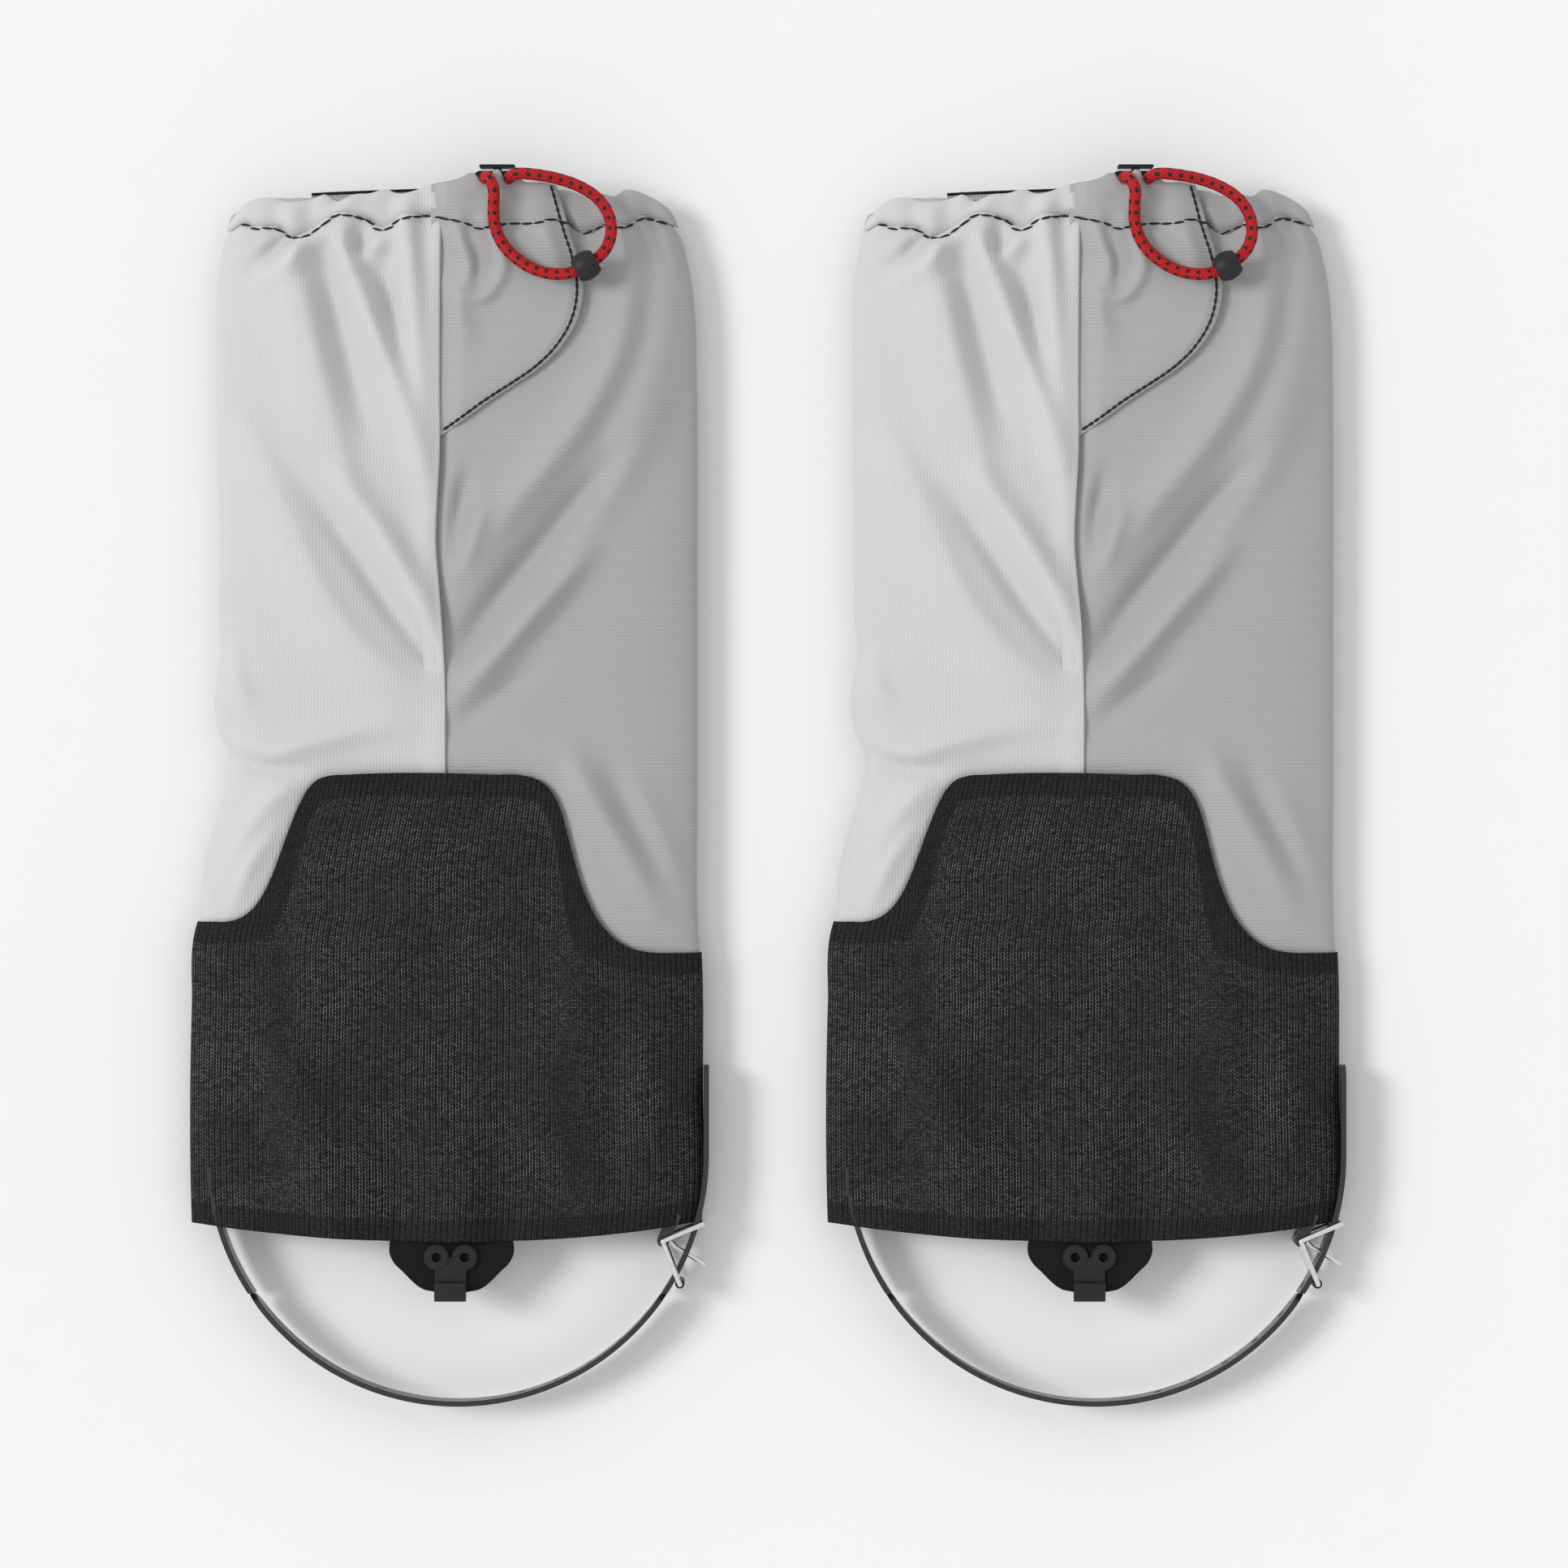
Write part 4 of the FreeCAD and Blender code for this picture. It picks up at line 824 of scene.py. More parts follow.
def back_surface(x, y):
    """Height of the shell's back above the table."""
    lying = MIDDLE - section_height(x, y)
    creases = fold_sum(x, y, BACK_FOLDS, [])
    gathers = (flutes(-x * 1.05 + 20) + 1) * 0.9 * gather_fade(y)
    dip = 0.8 * bell(y - CASING_Y, 3.0)
    seam = 0.5 * bell(x, BACK_SEAM_WIDTH)
    side_fade = fade_to_side(x, y)
    inside = 1.1 * ramp(guard_top_back(x) - y, -1.0, 2.0)
    return lying + (creases + gathers + dip + seam) * side_fade + inside * side_fade + 0.15


def back_panel_points():
    x, rows = panel_grid(1.0, -1.0, 215)
    return np.stack([x, rows, back_surface(x, rows)], axis=-1)


for side in SIDES:
    back = thicken(grid_piece(f"{side}_back_cloth", side, back_panel_points(), SHELL_BACK), SHELL_WALL)
    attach(back, f"{side}_tube")
    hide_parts(f"{side}_back_panel")
    print(side, "back panel:", len(back.data.polygons), "faces")

# %% [markdown]
# ## Gathered casing
# The top edge is folded inwards over the elastic cord and stitched, which makes a tunnel. Drawn up, the
# tunnel puckers into plump little waves. The grid below goes up the outside, over the top and down the
# inside.

# %% Build the casing
CASING_ARC = 15
CASING_COLUMNS = 300

front_rim_y = curve_through([
    (-90, 390), (-84, 392), (-80, 397), (-72, 399), (-65, 397.4), (-55, 398.2), (-50, 400), (-45, 397.4),
    (-38, 400), (-32, 400.4), (-26, 402), (-20, 400.2), (-14, 401.4), (-8, 403.6), (0, 404), (6, 403),
    (14, 402), (24, 401), (34, 401.5), (42, 402), (50, 401), (56, 399), (60, 400.4), (66, 399.4), (72, 402),
    (80, 399.4), (86, 394), (92, 390)])
BACK_TONE, PAINTED_LIT_TONE, PAINTED_SHADE_TONE = 2, 0, 1


def back_rim_y(x):
    return 401.5 + 1.2 * flutes(x * 1.1 + 40) - 7 * np.abs(share_across(x, 398.0)) ** 6


def casing_points():
    turn = np.linspace(0, 2 * np.pi, CASING_COLUMNS, endpoint=False)
    over = np.linspace(0, np.pi, CASING_ARC)
    share, front = -np.cos(turn), turn < np.pi
    rows = []
    for angle in over:
        rise = np.sin(angle) ** 0.75
        foot = np.where(front, casing_stitch_y(share * 86), CASING_Y)
        top = np.where(front, front_rim_y(share * 84), back_rim_y(share * 84))
        y = foot + (top - foot) * rise
        centre, half_width = centre_and_half(y)
        x = centre + half_width * share
        up = np.where(front, 1.0, -1.0)
        outer = MIDDLE + up * (section_height(x, y) * 0.97)
        puff = 1.5 * np.sin(np.clip((y - foot) / np.maximum(top - foot, 1), 0, 1) * np.pi)
        wave = flutes(np.where(front, x, -x + 20)) * 1.3 + puff - STITCH_DIP * (1 - rise)
        hidden = np.where(front, flap_cover(x, np.full_like(x, 380.0)), 0)
        outer += up * wave * (1 - np.abs(share) ** 7) * (1 - hidden) - up * hidden * 1.0
        outer = np.where(front, outer, np.maximum(outer, 0.25))
        inner_half = half_width - 5.5
        inner_x = centre + inner_half * share
        inner = MIDDLE + up * 3.4 * np.sqrt(1 - np.abs(share) ** 6)
        blend = (1 - np.cos(angle)) / 2
        rows.append(np.stack([x + (inner_x - x) * blend, y, outer + (inner - outer) * blend], axis=-1))
    points = np.stack(rows)
    # Painted light and shade: the front of the casing takes the lighter or the darker copy of the shell on
    # either side of the seam.
    tone = np.where(points[:, :, 0] < seam_line(points[:, :, 1]), PAINTED_LIT_TONE, PAINTED_SHADE_TONE)
    return points, np.where(front, tone, BACK_TONE)


for side in SIDES:
    points, tone = casing_points()
    casing = thicken(grid_piece(f"{side}_gathered_casing", side, points, SHELL_PAINTED_LIT, SHELL_PAINTED_SHADE, SHELL_BACK,
                                closed=True, tone=tone), SHELL_WALL)
    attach(casing, f"{side}_tube")
    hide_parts(f"{side}_top_casing", f"{side}_hem_cord")
    print(side, "casing:", len(casing.data.polygons), "faces")

# %% [markdown]
# ## Strip behind the mouth
# A flat strip of cloth stands a little above the back of the casing, with a dark bound edge. It is the only
# part of the inside that shows from the front.

# %% Build the strip
STRIP_LEFT, STRIP_RIGHT, STRIP_FOOT = -52.4, 5.0, 384.0
STRIP_BINDING, STRIP_WALL = 1.1, 0.8
STRIP_Z = 9.4
strip_top_y = curve_through([(-53, 401.2), (-42, 401.8), (-20, 402.6), (4, 403.6)])


def strip_points():
    x = np.linspace(STRIP_LEFT, STRIP_RIGHT, 80)
    level = np.array([0, 0.3, 0.6, 0.8, 0.9, 1.0])
    top = strip_top_y(x) - STRIP_BINDING
    y = STRIP_FOOT + (top - STRIP_FOOT) * level[:, None]
    y = np.concatenate([y, [top + 0.05, top + STRIP_BINDING]])
    z = STRIP_Z + 0.35 * np.sin(x / 5.1) + np.array([0] * len(level) + [0.25, 0.25])[:, None]
    tone = np.zeros(y.shape)
    tone[len(level) - 1:] = 1
    return np.stack([np.broadcast_to(x, y.shape), y, z], axis=-1), tone


for side in SIDES:
    points, tone = strip_points()
    strip = thicken(grid_piece(f"{side}_back_strip", side, points, SHELL_BACK, TAPE, tone=tone), STRIP_WALL)
    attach(strip, f"{side}_tube")
    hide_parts(f"{side}_back_tape")
    print(side, "strip:", len(strip.data.polygons), "faces")

# %% [markdown]
# ## Guard
# The guard is a second skin sewn round the lower tube. It is stiffer than the shell, so it only swells in
# broad shallow waves. Its rim is folded under, and that doubled band is a little thicker than the rest.

# %% Build the guard
GUARD_COLUMNS, GUARD_ROWS = 300, 116
GUARD_STANDOFF, GUARD_WALL = 0.9, 0.8
GUARD_WAVES = [
    ([(-30, 160, 0.4), (-20, 145, 1.4), (-14, 125, 1.0), (-12, 105, 0.2)], 14, 14),
    ([(-62, 80, 0.3), (-56, 55, 1.8), (-48, 30, 1.6), (-42, 8, 1.8), (-40, -4, 0.6)], 10, 14),
    ([(2, 50, 0.2), (4, 28, 1.2), (5, 10, 1.6), (5, -4, 0.8)], 11, 12),
    ([(-90, 95, 0.6), (-92, 60, 1.0), (-92, 20, 0.8)], 7, 6),
    ([(40, 120, 0.2), (46, 85, 1.2), (44, 50, 1.0), (36, 20, 0.3)], 14, 14),
    ([(76, 80, 0.3), (80, 50, 1.0), (78, 10, 0.8)], 8, 10),
]
GUARD_DIPS = [
    ([(-26, 60, 0.2), (-20, 30, 1.2), (-18, 4, 1.2)], 9, 9),
    ([(24, 60, 0.2), (22, 30, 1.0), (22, 2, 1.0)], 9, 9),
    ([(62, 90, 0.2), (64, 60, 1.0), (62, 25, 0.6)], 8, 8),
    ([(-72, 60, 0.3), (-70, 30, 0.9), (-68, 8, 0.6)], 7, 7),
]


def guard_points():
    turn = np.linspace(0, 2 * np.pi, GUARD_COLUMNS, endpoint=False)
    share = np.repeat(-np.cos(turn)[None, :], GUARD_ROWS, axis=0)
    front = np.repeat((turn < np.pi)[None, :], GUARD_ROWS, axis=0)
    level = np.linspace(0, 1, GUARD_ROWS)[:, None]
    y = np.repeat(level * 120, GUARD_COLUMNS, axis=1)
    for _ in range(4):
        centre, half_width = centre_and_half(y)
        x = centre + (half_width + GUARD_STANDOFF) * share
        top = np.where(front, guard_top_front(x), guard_top_back(x))
        y = hem_edge(x) + level * (top - hem_edge(x))
    thick = section_height(centre + half_width * share, y)
    slope = np.where(front, guard_slope(x), 0)
    rim = np.minimum((top - y) / np.sqrt(1 + slope**2), y - hem_edge(x))
    doubled = 0.45 * (1 - ramp(rim, FOLDED_RIM - 0.8, FOLDED_RIM + 0.4))
    groove = 0.30 * bell(rim - FOLDED_RIM + 1.2, 0.9)
    waves = fold_sum(x, y, GUARD_WAVES, GUARD_DIPS)
    fade = 1 - np.abs(share) ** 7
    rough = np.where(front, waves, 0.35 * np.abs(waves))
    stand = GUARD_STANDOFF + doubled - groove
    z = np.where(front, MIDDLE + thick + stand * fade + rough * fade,
                 np.maximum(MIDDLE - thick - (stand - 0.9) * fade, 0.1) + rough * fade)
    return np.stack([x, y, z], axis=-1), rim


for side in SIDES:
    points, rim = guard_points()
    guard = thicken(grid_piece(f"{side}_ankle_guard", side, points, GUARD, closed=True, facts={"rim": rim},
                               straight=True), GUARD_WALL)
    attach(guard, f"{side}_tube")
    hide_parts(f"{side}_guard_front", f"{side}_guard_back")
    print(side, "guard:", len(guard.data.polygons), "faces")

# %% [markdown]
# ## Closure flap
# Behind the lap is a curved flap that presses shut with hook and loop pads. It is sewn in along the seam,
# so it swings open there.

# %% Build the flap
FLAP_LOW, FLAP_HIGH = 307.6, 404.0
FLAP_ROWS, FLAP_COLUMNS = 96, 60
FLAP_TOP, FLAP_RIM_DROP = 24.75, 1.5
SEAM_DROP = 2.5                # the flap dips where it goes under the lap
FLAP_RISE, FLAP_WALL = 0.8, 0.6
PAD_COVER = 24.68              # the least height of its face over the hook pad
FLAP_FOLDS = [
    ([(3, 388, 0.6), (6, 380, 1.8), (9, 372, 1.8), (8, 362, 0.4)], 3.5, 4),
    ([(16, 390, 0.6), (20, 382, 0.8), (22, 374, 0.8), (20, 366, 1.4), (14, 360, 1.6), (6, 361, 0.8),
      (2, 366, 0.2)], 3, 3.5),
    ([(1, 366, 0.6), (4, 358, 1.4), (7, 348, 0.9), (8, 338, 0.1)], 5, 4),
    ([(34, 392, 0.3), (38, 384, 1.6), (41, 376, 1.2), (42, 366, 0.2)], 5, 5),
]
FLAP_HOLLOWS = [
    ([(9, 389, 0.6), (13, 382, 1.3), (14, 374, 1.3), (11, 367, 0.4)], 3, 3),
    ([(27, 389, 0.3), (29, 380, 0.5), (28, 372, 0.2)], 4, 4),
]

flap_rim_y = curve_through([
    (-8, 403), (-3, 404), (2, 404.6), (6, 406), (9.5, 407.6), (11.4, 406.9), (12.6, 405.0), (14.7, 403.4),
    (16.6, 405.0), (17.8, 408.2), (19.3, 408.9), (20.8, 408.2), (22, 405), (23.9, 403.4), (25.8, 405),
    (27.2, 405.8), (30, 404.2), (36, 404), (42, 403), (48, 402)])


def flap_surface(x, y):
    """Height of the flap's face: it lies over the pads and drops to the panel at its curved edge."""
    to_edge = flap_edge(y) - x
    drop = FLAP_RIM_DROP * np.exp(-np.clip(to_edge, 0, None) / 4.0)
    wrinkles = fold_sum(x, y, FLAP_FOLDS, FLAP_HOLLOWS)
    stitched = 0.9 * bell(y - casing_stitch_y(x), 2.6)
    puff = bell(y - 397, 5.0) * (0.6 + 0.4 * np.sin(x / 2.6))
    hem = 0.25 * (1 - ramp(to_edge, 2.2, 3.4))
    rounded = 0.6 * ramp(y, 401, 407)
    tucked = SEAM_DROP * (1 - ramp(x, -1.5, 6.5)) * (1 - ramp(y, 384, 398))
    over_pad = ramp(x, 3.0, 6.0) * ramp(to_edge, 2.0, 5.0) * ramp(y, 334, 340) * (1 - ramp(y, 384, 390))
    height = FLAP_TOP + wrinkles * FLAP_RISE - stitched + puff - drop + hem - rounded - tucked
    return np.maximum(height, PAD_COVER - 3.0 * (1 - over_pad))


def flap_points():
    y = np.linspace(FLAP_LOW, FLAP_HIGH, FLAP_ROWS)
    across = np.linspace(0, 1, FLAP_COLUMNS)
    start = np.full(len(y), FLAP_FOLD_X - 3.0)
    end = flap_edge(y)
    x = start[:, None] + (end - start)[:, None] * across
    rows = np.repeat(y[:, None], FLAP_COLUMNS, axis=1)
    z = flap_surface(x, rows)
    under_lap = ramp(seam_line(rows) + 2.0 - x, 0, 5.0)
    z = z * (1 - under_lap) + 21.4 * under_lap
    rows = rows + ramp(rows, 392, FLAP_HIGH) * (flap_rim_y(x) - FLAP_HIGH)
    return np.stack([x, rows, z], axis=-1)


for side in SIDES:
    # The flap takes the darker, painted-shade copy of the shell.
    flap = thicken(grid_piece(f"{side}_flap_cloth", side, flap_points(), SHELL_PAINTED_SHADE), FLAP_WALL)
    low, high = place(side, [(FLAP_FOLD_X - 1.5, 355, 24.6), (FLAP_FOLD_X + 2.5, 355, 24.6)])
    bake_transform(flap)
    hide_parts(f"{side}_closure_flap")
    print(side, "flap:", len(flap.data.polygons), "faces")

# %% [markdown]
# ## Stitches
# A stitch is a short thread that dips at both ends, and a seam is hundreds of them along a path. That is
# what Geometry Nodes are for: resample the path at the stitch pitch, put one small capsule on every point,
# turn it along the path, and realise the result.


# %% Stitch generator
def stitch_generator():
    tree = bpy.data.node_groups.new("stitch_run", "GeometryNodeTree")
    tree.is_modifier = True
    for name, kind in (("Path", "Geometry"), ("Pitch", "Float"), ("Length", "Float"), ("Thickness", "Float"),
                       ("Thread", "Material")):
        tree.interface.new_socket(name, in_out="INPUT", socket_type="NodeSocket" + kind)
    tree.interface.new_socket("Stitches", in_out="OUTPUT", socket_type="NodeSocketGeometry")
    start, end = tree.nodes.new("NodeGroupInput"), tree.nodes.new("NodeGroupOutput")
    given = {s.name: Shade(tree, s) for s in start.outputs if s.name}
    curve = node(tree, "GeometryNodeMeshToCurve", {}, {"Mesh": given["Path"]})
    points = node(tree, "GeometryNodeResampleCurve", {"mode": "LENGTH"},
                  {"Curve": curve, "Length": given["Pitch"]})
    tangent = node(tree, "GeometryNodeInputTangent")
    turned = node(tree, "FunctionNodeAlignRotationToVector", {"axis": "Z"}, {"Vector": tangent})
    uneven = node(tree, "FunctionNodeRandomValue", {"data_type": "FLOAT"},
                  {2: 0.88, 3: 1.08, "Seed": 7}, out=1)
    size = node(tree, "ShaderNodeCombineXYZ", {}, {0: given["Thickness"], 1: given["Thickness"],
                                                   2: given["Length"] * uneven})
    bead = node(tree, "GeometryNodeMeshUVSphere", {}, {"Segments": 6, "Rings": 5, "Radius": 0.5})
    placed = node(tree, "GeometryNodeInstanceOnPoints", {}, {"Points": points, "Instance": bead,
                                                             "Rotation": turned, "Scale": size})
    whole = node(tree, "GeometryNodeRealizeInstances", {}, {"Geometry": placed})
    smooth = node(tree, "GeometryNodeSetShadeSmooth", {}, {"Geometry": whole})
    coloured = node(tree, "GeometryNodeSetMaterial", {}, {"Geometry": smooth, "Material": given["Thread"]})
    tree.links.new(coloured.socket, end.inputs[0])
    return tree


STITCH_RUN = stitch_generator()
STITCH_INPUT = {item.name: item.identifier for item in STITCH_RUN.interface.items_tree
                if item.in_out == "INPUT"}


def stitches(name, side, paths, sizes):
    """Rows of stitches along paths of millimetre points, as one plain mesh."""
    points, edges = [], []
    for path in paths:
        first = len(points)
        points += place(side, path).tolist()
        edges += [(k, k + 1) for k in range(first, len(points) - 1)]
    mesh = bpy.data.meshes.new(name)
    mesh.from_pydata(points, edges, [])
    run = add_object(name, mesh)
    modifier = run.modifiers.new("stitches", "NODES")
    modifier.node_group = STITCH_RUN
    for key, size in zip(("Pitch", "Length", "Thickness"), sizes):
        modifier[STITCH_INPUT[key]] = size * MM
    modifier[STITCH_INPUT["Thread"]] = THREAD
    return settle(run)


def along(curve, low, high, step=1.0):
    """x and y of a line that is a function of x."""
    x = np.linspace(low, high, max(2, int(abs(high - low) / step)))
    return x, curve(x)


print("stitch generator inputs:", sorted(STITCH_INPUT))

# %% Seams on the tube and the flap
THREAD_LIFT = 0.25
TAG_HEIGHT = STRIP_Z + 0.5
# Pitch, length and thickness of each kind of stitch.
RIM_STITCH, CASING_STITCH, EDGE_STITCH = (3.2, 2.7, 0.55), (4.6, 4.9, 0.95), (2.7, 3.0, 1.15)


def guard_face(x, y):
    """Height of the guard's face, for the thread that lies in its rim."""
    fade = fade_to_side(x, y)
    waves = fold_sum(x, y, GUARD_WAVES, GUARD_DIPS)
    return MIDDLE + section_height(x, y) + (GUARD_STANDOFF + 0.45 + waves) * fade


def rim_path(edge, inset, up):
    """A path a fixed distance inside one edge of the guard's front."""
    x = np.linspace(-94, 92, 420)
    slope = (edge(x + 0.5) - edge(x - 0.5))
    size = np.sqrt(1 + slope**2)
    px, py = x + up * slope / size * inset, edge(x) - up * inset / size
    return np.stack([px, py, guard_face(px, py) + 0.05], axis=-1)


for side in SIDES:
    rims = [rim_path(guard_top_front, 2.4, 1), rim_path(hem_edge, 3.2, -1)]
    rim_run = stitches(f"{side}_guard_stitches", side, rims, RIM_STITCH)
    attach(rim_run, f"{side}_tube")
    runs = []
    for low, high in ((-81.5, -3.2), (53.5, 82.0)):
        x, y = along(casing_stitch_y, low, high)
        runs.append(np.stack([x, y, front_surface(x, y) + THREAD_LIFT], axis=-1))
    x = np.linspace(-47.5, -2.0, 40)
    tag = np.stack([x, strip_top_y(x) - 3.6 + 0.3 * np.sin(x / 3.1), np.full(len(x), TAG_HEIGHT)], axis=-1)
    runs.append(np.concatenate([[(-47.5, 394.0, TAG_HEIGHT)], tag]))
    casing_run = stitches(f"{side}_casing_stitches", side, runs, CASING_STITCH)
    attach(casing_run, f"{side}_tube")
    x, y = along(casing_stitch_y, -1.0, 44.5)
    top_run = np.stack([x, y, flap_surface(x, y) + 0.2], axis=-1)
    y = np.linspace(310.5, 401.5, 150)
    x = flap_edge(y) - 2.4
    edge_run = np.stack([x, y, flap_surface(x, y) + 0.1], axis=-1)
    flap_run = stitches(f"{side}_flap_stitches", side, [edge_run], EDGE_STITCH)
    flap_top = stitches(f"{side}_flap_casing_stitches", side, [top_run], CASING_STITCH)
    for piece in (flap_run, flap_top):
        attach(piece, f"{side}_flap")
    print(side, "shell stitches:", len(casing_run.data.polygons) + len(flap_run.data.polygons), "faces")

# %% [markdown]
# ## Drawcord loop
# The elastic cord comes out of the lock, runs in one open loop over the flap and goes back in. It is a
# smooth curve through listed points. The braid is a fine relief of crossing strands, and the black
# tracer threads are colour, laid out in the cord's own UV map: metres along it, and turns round it.

# %% Cord finish
CORD_RADIUS = 2.25
TRACER_PITCH = 0.0042


def cord_finish():
    material, tree, shader = new_material("red_braid")
    along_cord, around, _ = split(tree, node(tree, "ShaderNodeUVMap", {"uv_map": "cord"}))
    strand_a = (along_cord / 0.0016 + around * 8).wave()
    strand_b = (along_cord / 0.0016 - around * 8).wave()
    braid = strand_a * strand_b
    row = along_cord / TRACER_PITCH
    beat = row - row.whole()
    lane = around * 5
    turn = lane - lane.whole()
    tracer = (1 - beat.step(0.34, 0.40)) * (1 - turn.step(0.50, 0.56))
    red = mix(tree, braid * 0.8 + 0.1, (0.30, 0.003, 0.006, 1), (0.70, 0.010, 0.018, 1))
    colour = mix(tree, tracer, red, grey(0.012))
    feed(tree, shader, colour, 0.62 - braid * 0.12, braid, 0.00030, Specular_IOR_Level=0.25)
    return material


RED_BRAID = cord_finish()

# %% Build the cords
CORD_ROUTE = [(14.7, 405.4, 22.4), (15.2, 406.6, 29.2), (18.8, 401.4, 32.0), (18.2, 394.2, 29.6),
              (18.4, 387.4, 28.2), (21.2, 380.4, 27.8), (26.6, 374.6, 28.0), (33.6, 370.2, 28.6),
              (41.2, 368.3, 29.8), (48.6, 368.8, 31.0), (58.4, 374.4, 31.4), (62.3, 379.7, 30.6),
              (63.4, 386.2, 29.4), (61.7, 392.8, 28.4), (57.4, 398.3, 27.8), (50.9, 402.3, 27.7),
              (43.4, 404.9, 28.2), (35.6, 406.3, 29.4), (27.4, 407.0, 30.4), (24.1, 405.8, 27.2),
              (23.9, 405.4, 22.4)]
CORD_AROUND = 20
BRAID_DEPTH, BRAID_RATE = 0.035, 3900


def route_points(name, side, route):
    """Points along a smooth NURBS curve whose control points are the route."""
    curve = bpy.data.curves.new(name, "CURVE")
    curve.dimensions = "3D"
    curve.resolution_u = 16
    spline = curve.splines.new("NURBS")
    spline.points.add(len(route) - 1)
    for point, at in zip(spline.points, place(side, route)):
        point.co = (*at, 1.0)
    spline.order_u = 3
    spline.use_endpoint_u = True
    holder = add_object(name, curve)
    mesh = bpy.data.meshes.new_from_object(holder.evaluated_get(bpy.context.evaluated_depsgraph_get()))
    points = np.array([v.co for v in mesh.vertices])
    bpy.data.objects.remove(holder)
    return points


def frames_along(points):
    """Tangent, side and up vectors along a line, turned as little as possible."""
    tangent = np.gradient(points, axis=0)
    tangent /= np.linalg.norm(tangent, axis=1, keepdims=True)
    side_way = [np.cross(tangent[0], (0.3, 1.0, 0.1))]
    side_way[0] = side_way[0] / np.linalg.norm(side_way[0])
    for t in tangent[1:]:
        carried = side_way[-1] - t * (side_way[-1] @ t)
        side_way.append(carried / np.linalg.norm(carried))
    side_way = np.array(side_way)
    return tangent, side_way, np.cross(tangent, side_way)


def swept_tube(name, line, radius, around, material):
    """A tube with closed ends along a line. The radius is one number, or one for each point of each ring."""
    _, across, up = frames_along(line)
    turn = np.linspace(0, 2 * np.pi, around, endpoint=False)
    ring = np.cos(turn)[None, :, None] * across[:, None] + np.sin(turn)[None, :, None] * up[:, None]
    points = line[:, None] + ring * np.broadcast_to(radius, ring.shape[:2])[:, :, None]
    faces = [tuple(int(v) for v in q[::-1]) for q in grid_faces(len(line), around, True)]
    last = (len(line) - 1) * around
    faces += [tuple(range(around)), tuple(last + k for k in reversed(range(around)))]
    mesh = bpy.data.meshes.new(name)
    mesh.from_pydata(points.reshape(-1, 3).tolist(), [], faces)
    mesh.materials.append(material)
    mesh.polygons.foreach_set("use_smooth", [True] * len(mesh.polygons))
    return add_object(name, mesh)


def cord_piece(name, line, radius):
    """A braided cord along a line, with a `cord` UV map: metres along it, and turns round it."""
    run = run_along(line)
    turn = np.linspace(0, 2 * np.pi, CORD_AROUND, endpoint=False)
    relief = 1 + BRAID_DEPTH * np.cos(run[:, None] * BRAID_RATE + turn * 4) * np.cos(
        run[:, None] * BRAID_RATE - turn * 4)
    piece = swept_tube(name, line, radius * MM * relief, CORD_AROUND, RED_BRAID)
    uv = piece.data.uv_layers.new(name="cord").data
    for polygon in piece.data.polygons:
        columns = [v % CORD_AROUND for v in polygon.vertices]
        wraps = max(columns) - min(columns) > 1
        for loop, v in zip(polygon.loop_indices, polygon.vertices):
            column = v % CORD_AROUND + (CORD_AROUND if wraps and v % CORD_AROUND == 0 else 0)
            uv[loop].uv = (run[v // CORD_AROUND], column / CORD_AROUND)
    return piece


def even_points(points, spacing):
    """The same line with points at an even spacing."""
    run = run_along(points)
    at = np.linspace(0, run[-1], int(run[-1] / spacing))
    return np.stack([np.interp(at, run, points[:, k]) for k in range(3)], axis=1)


for side in SIDES:
    line = even_points(route_points("route", side, CORD_ROUTE), 0.0004)
    loop = cord_piece(f"{side}_loop_cord", line, CORD_RADIUS)
    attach(loop, f"{side}_flap")
    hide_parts(f"{side}_drawcord_loop")
    print(side, "cord:", round(float(run_along(line)[-1]) / MM, 1), "mm")

# %% [markdown]
# ## Hook tab
# The tab is a stiff coated patch, sewn under the hem and clipped to a blunt shape. It carries the lace hook
# on two hollow rivets.

# %% Build the hook tab
TAB_Z, TAB_THICK = 20.6, 1.6
tab_left = curve_through([
    (18, -21.6), (2, -21.6), (-5.5, -21.6), (-8.2, -20.2), (-12, -16.4), (-15.6, -12.8), (-17.6, -10.2),
    (-18.8, -7.4), (-19.4, -4.0)])
TAB_MIDDLE = 1.85
TAB_BEND = (1.2, -1.4)


def tab_points():
    y = np.concatenate([np.linspace(16, -4, 30), np.linspace(-4.5, -17, 26), np.linspace(-17.4, -19.4, 8)])
    share = np.sin(np.linspace(-np.pi / 2, np.pi / 2, 44))
    x = TAB_MIDDLE + (TAB_MIDDLE - tab_left(y)[::-1])[:, None] * share
    rows = np.repeat(y[::-1][:, None], x.shape[1], axis=1)
    edge = np.minimum(1 - np.abs(share), 0.03) / 0.03
    foot = np.clip((rows + 19.4) / 0.9, 0, 1)
    z = TAB_Z - 0.35 * (1 - edge) - 0.35 * (1 - foot) - 1.1 * ramp(rows, 1.5, 5.0)
    return np.stack([x, rows, z], axis=-1)


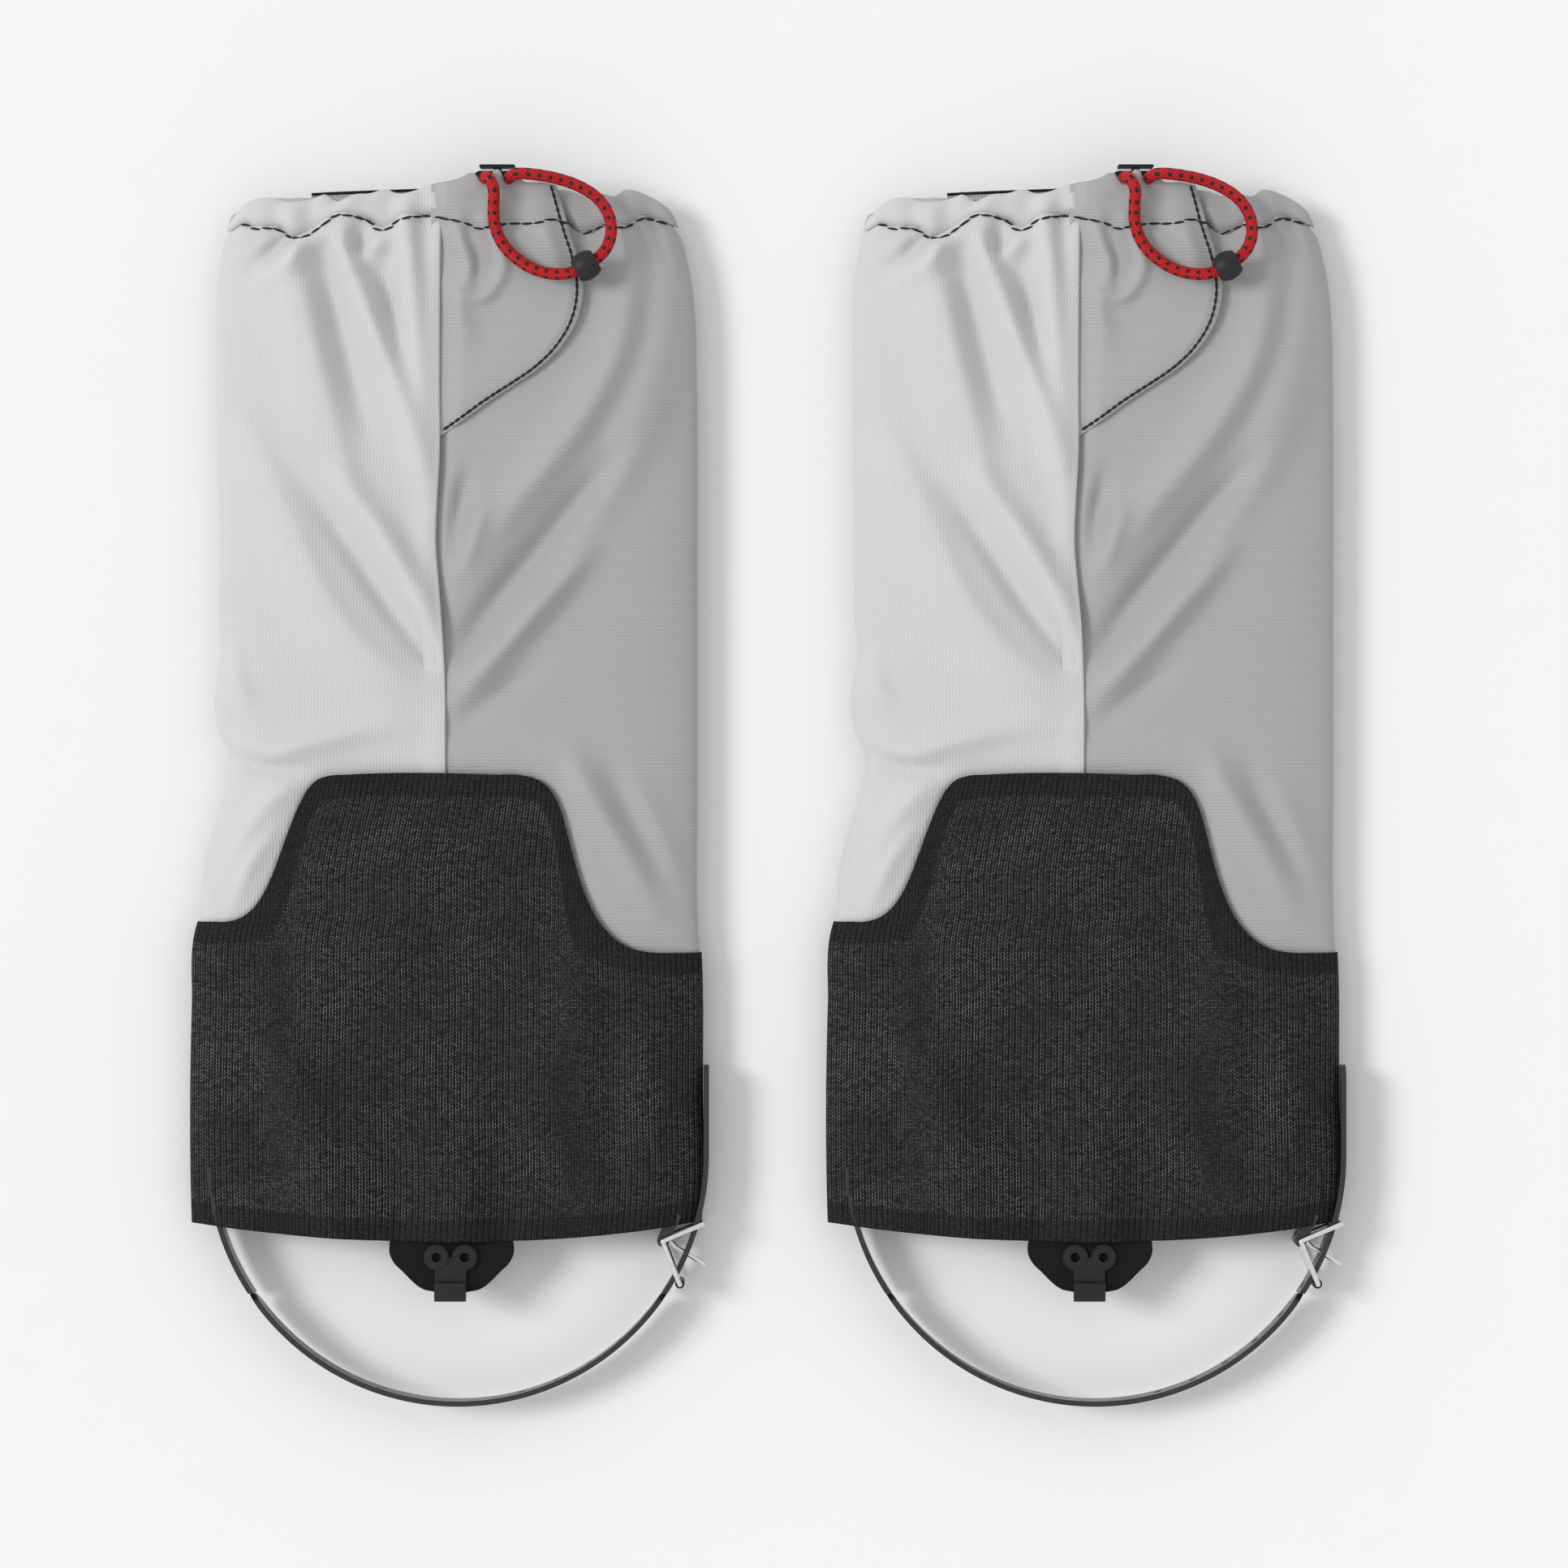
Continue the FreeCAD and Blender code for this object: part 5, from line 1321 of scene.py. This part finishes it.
for side in SIDES:
    tab = thicken(grid_piece(f"{side}_hook_patch", side, tab_points(), PATCH), TAB_THICK)
    high, low = place(side, [(0, TAB_BEND[0], TAB_Z), (0, TAB_BEND[1], TAB_Z)])
    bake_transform(tab)
    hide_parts(f"{side}_hook_tab", f"{side}_hook_tab_root")
    print(side, "hook tab:", len(tab.data.polygons), "faces")

# %% [markdown]
# ## Spring in the cord lock
# The spring is a coil in the bottom of the lock. It is the one part that shortens when the plunger is
# pressed.

# %% Wind the spring
COILS, COIL_STEPS, COIL_AROUND = 3.5, 96, 8
SPRING_WIRE = 0.2


def spring_piece(side):
    low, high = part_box(f"{side}_cord_lock_spring")
    middle, radius = (low + high) / 2, (high.x - low.x) / 2 - SPRING_WIRE * MM
    turn = np.linspace(0, 2 * np.pi * COILS, COIL_STEPS)
    foot, head = low.y + SPRING_WIRE * MM, high.y - SPRING_WIRE * MM
    line = np.stack([middle.x + radius * np.cos(turn), foot + (head - foot) * turn / turn[-1],
                     middle.z + radius * np.sin(turn)], axis=1)
    coil = swept_tube(f"{side}_lock_coil", line, SPRING_WIRE * MM, COIL_AROUND, SPRING)
    return coil, Vector((middle.x, low.y, middle.z))


for side in SIDES:
    coil, foot = spring_piece(side)
    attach(coil, f"{side}_flap")
    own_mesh(coil)
    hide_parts(f"{side}_cord_lock_spring")
    print(side, "spring:", len(coil.data.polygons), "faces")

# %% [markdown]
# ## Finishes for the measured parts
# The hardware keeps its measured shape and gets a finish of its own.

# %% Dress the hardware
DRESS = {
    "flap_hook_pad": FASTENER, "panel_loop_pad": FASTENER,
    "cord_lock_body": LOCK, "cord_lock_plunger": LOCK, "cord_lock_tab": TAPE,
    "cord_bead": RUBBER, "lace_hook": COATED, "hook_rivets": COATED, "rivet_washers": COATED,
    "side_patches": TAPE, "buckle_frame": WIRE, "buckle_tongue": WIRE, "buckle_roller": ROLLER,
    "strap_root": STRAP, "instep_strap": STRAP, "strap_tail": STRAP, "buckle_tab": STRAP,
}
for side in SIDES:
    for part, finish in DRESS.items():
        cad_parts[f"{side}_{part}"].material_slots[0].material = finish
print("dressed", len(DRESS) * len(SIDES), "parts")

for side in SIDES:
    lapping, lapped = front_panels[side]
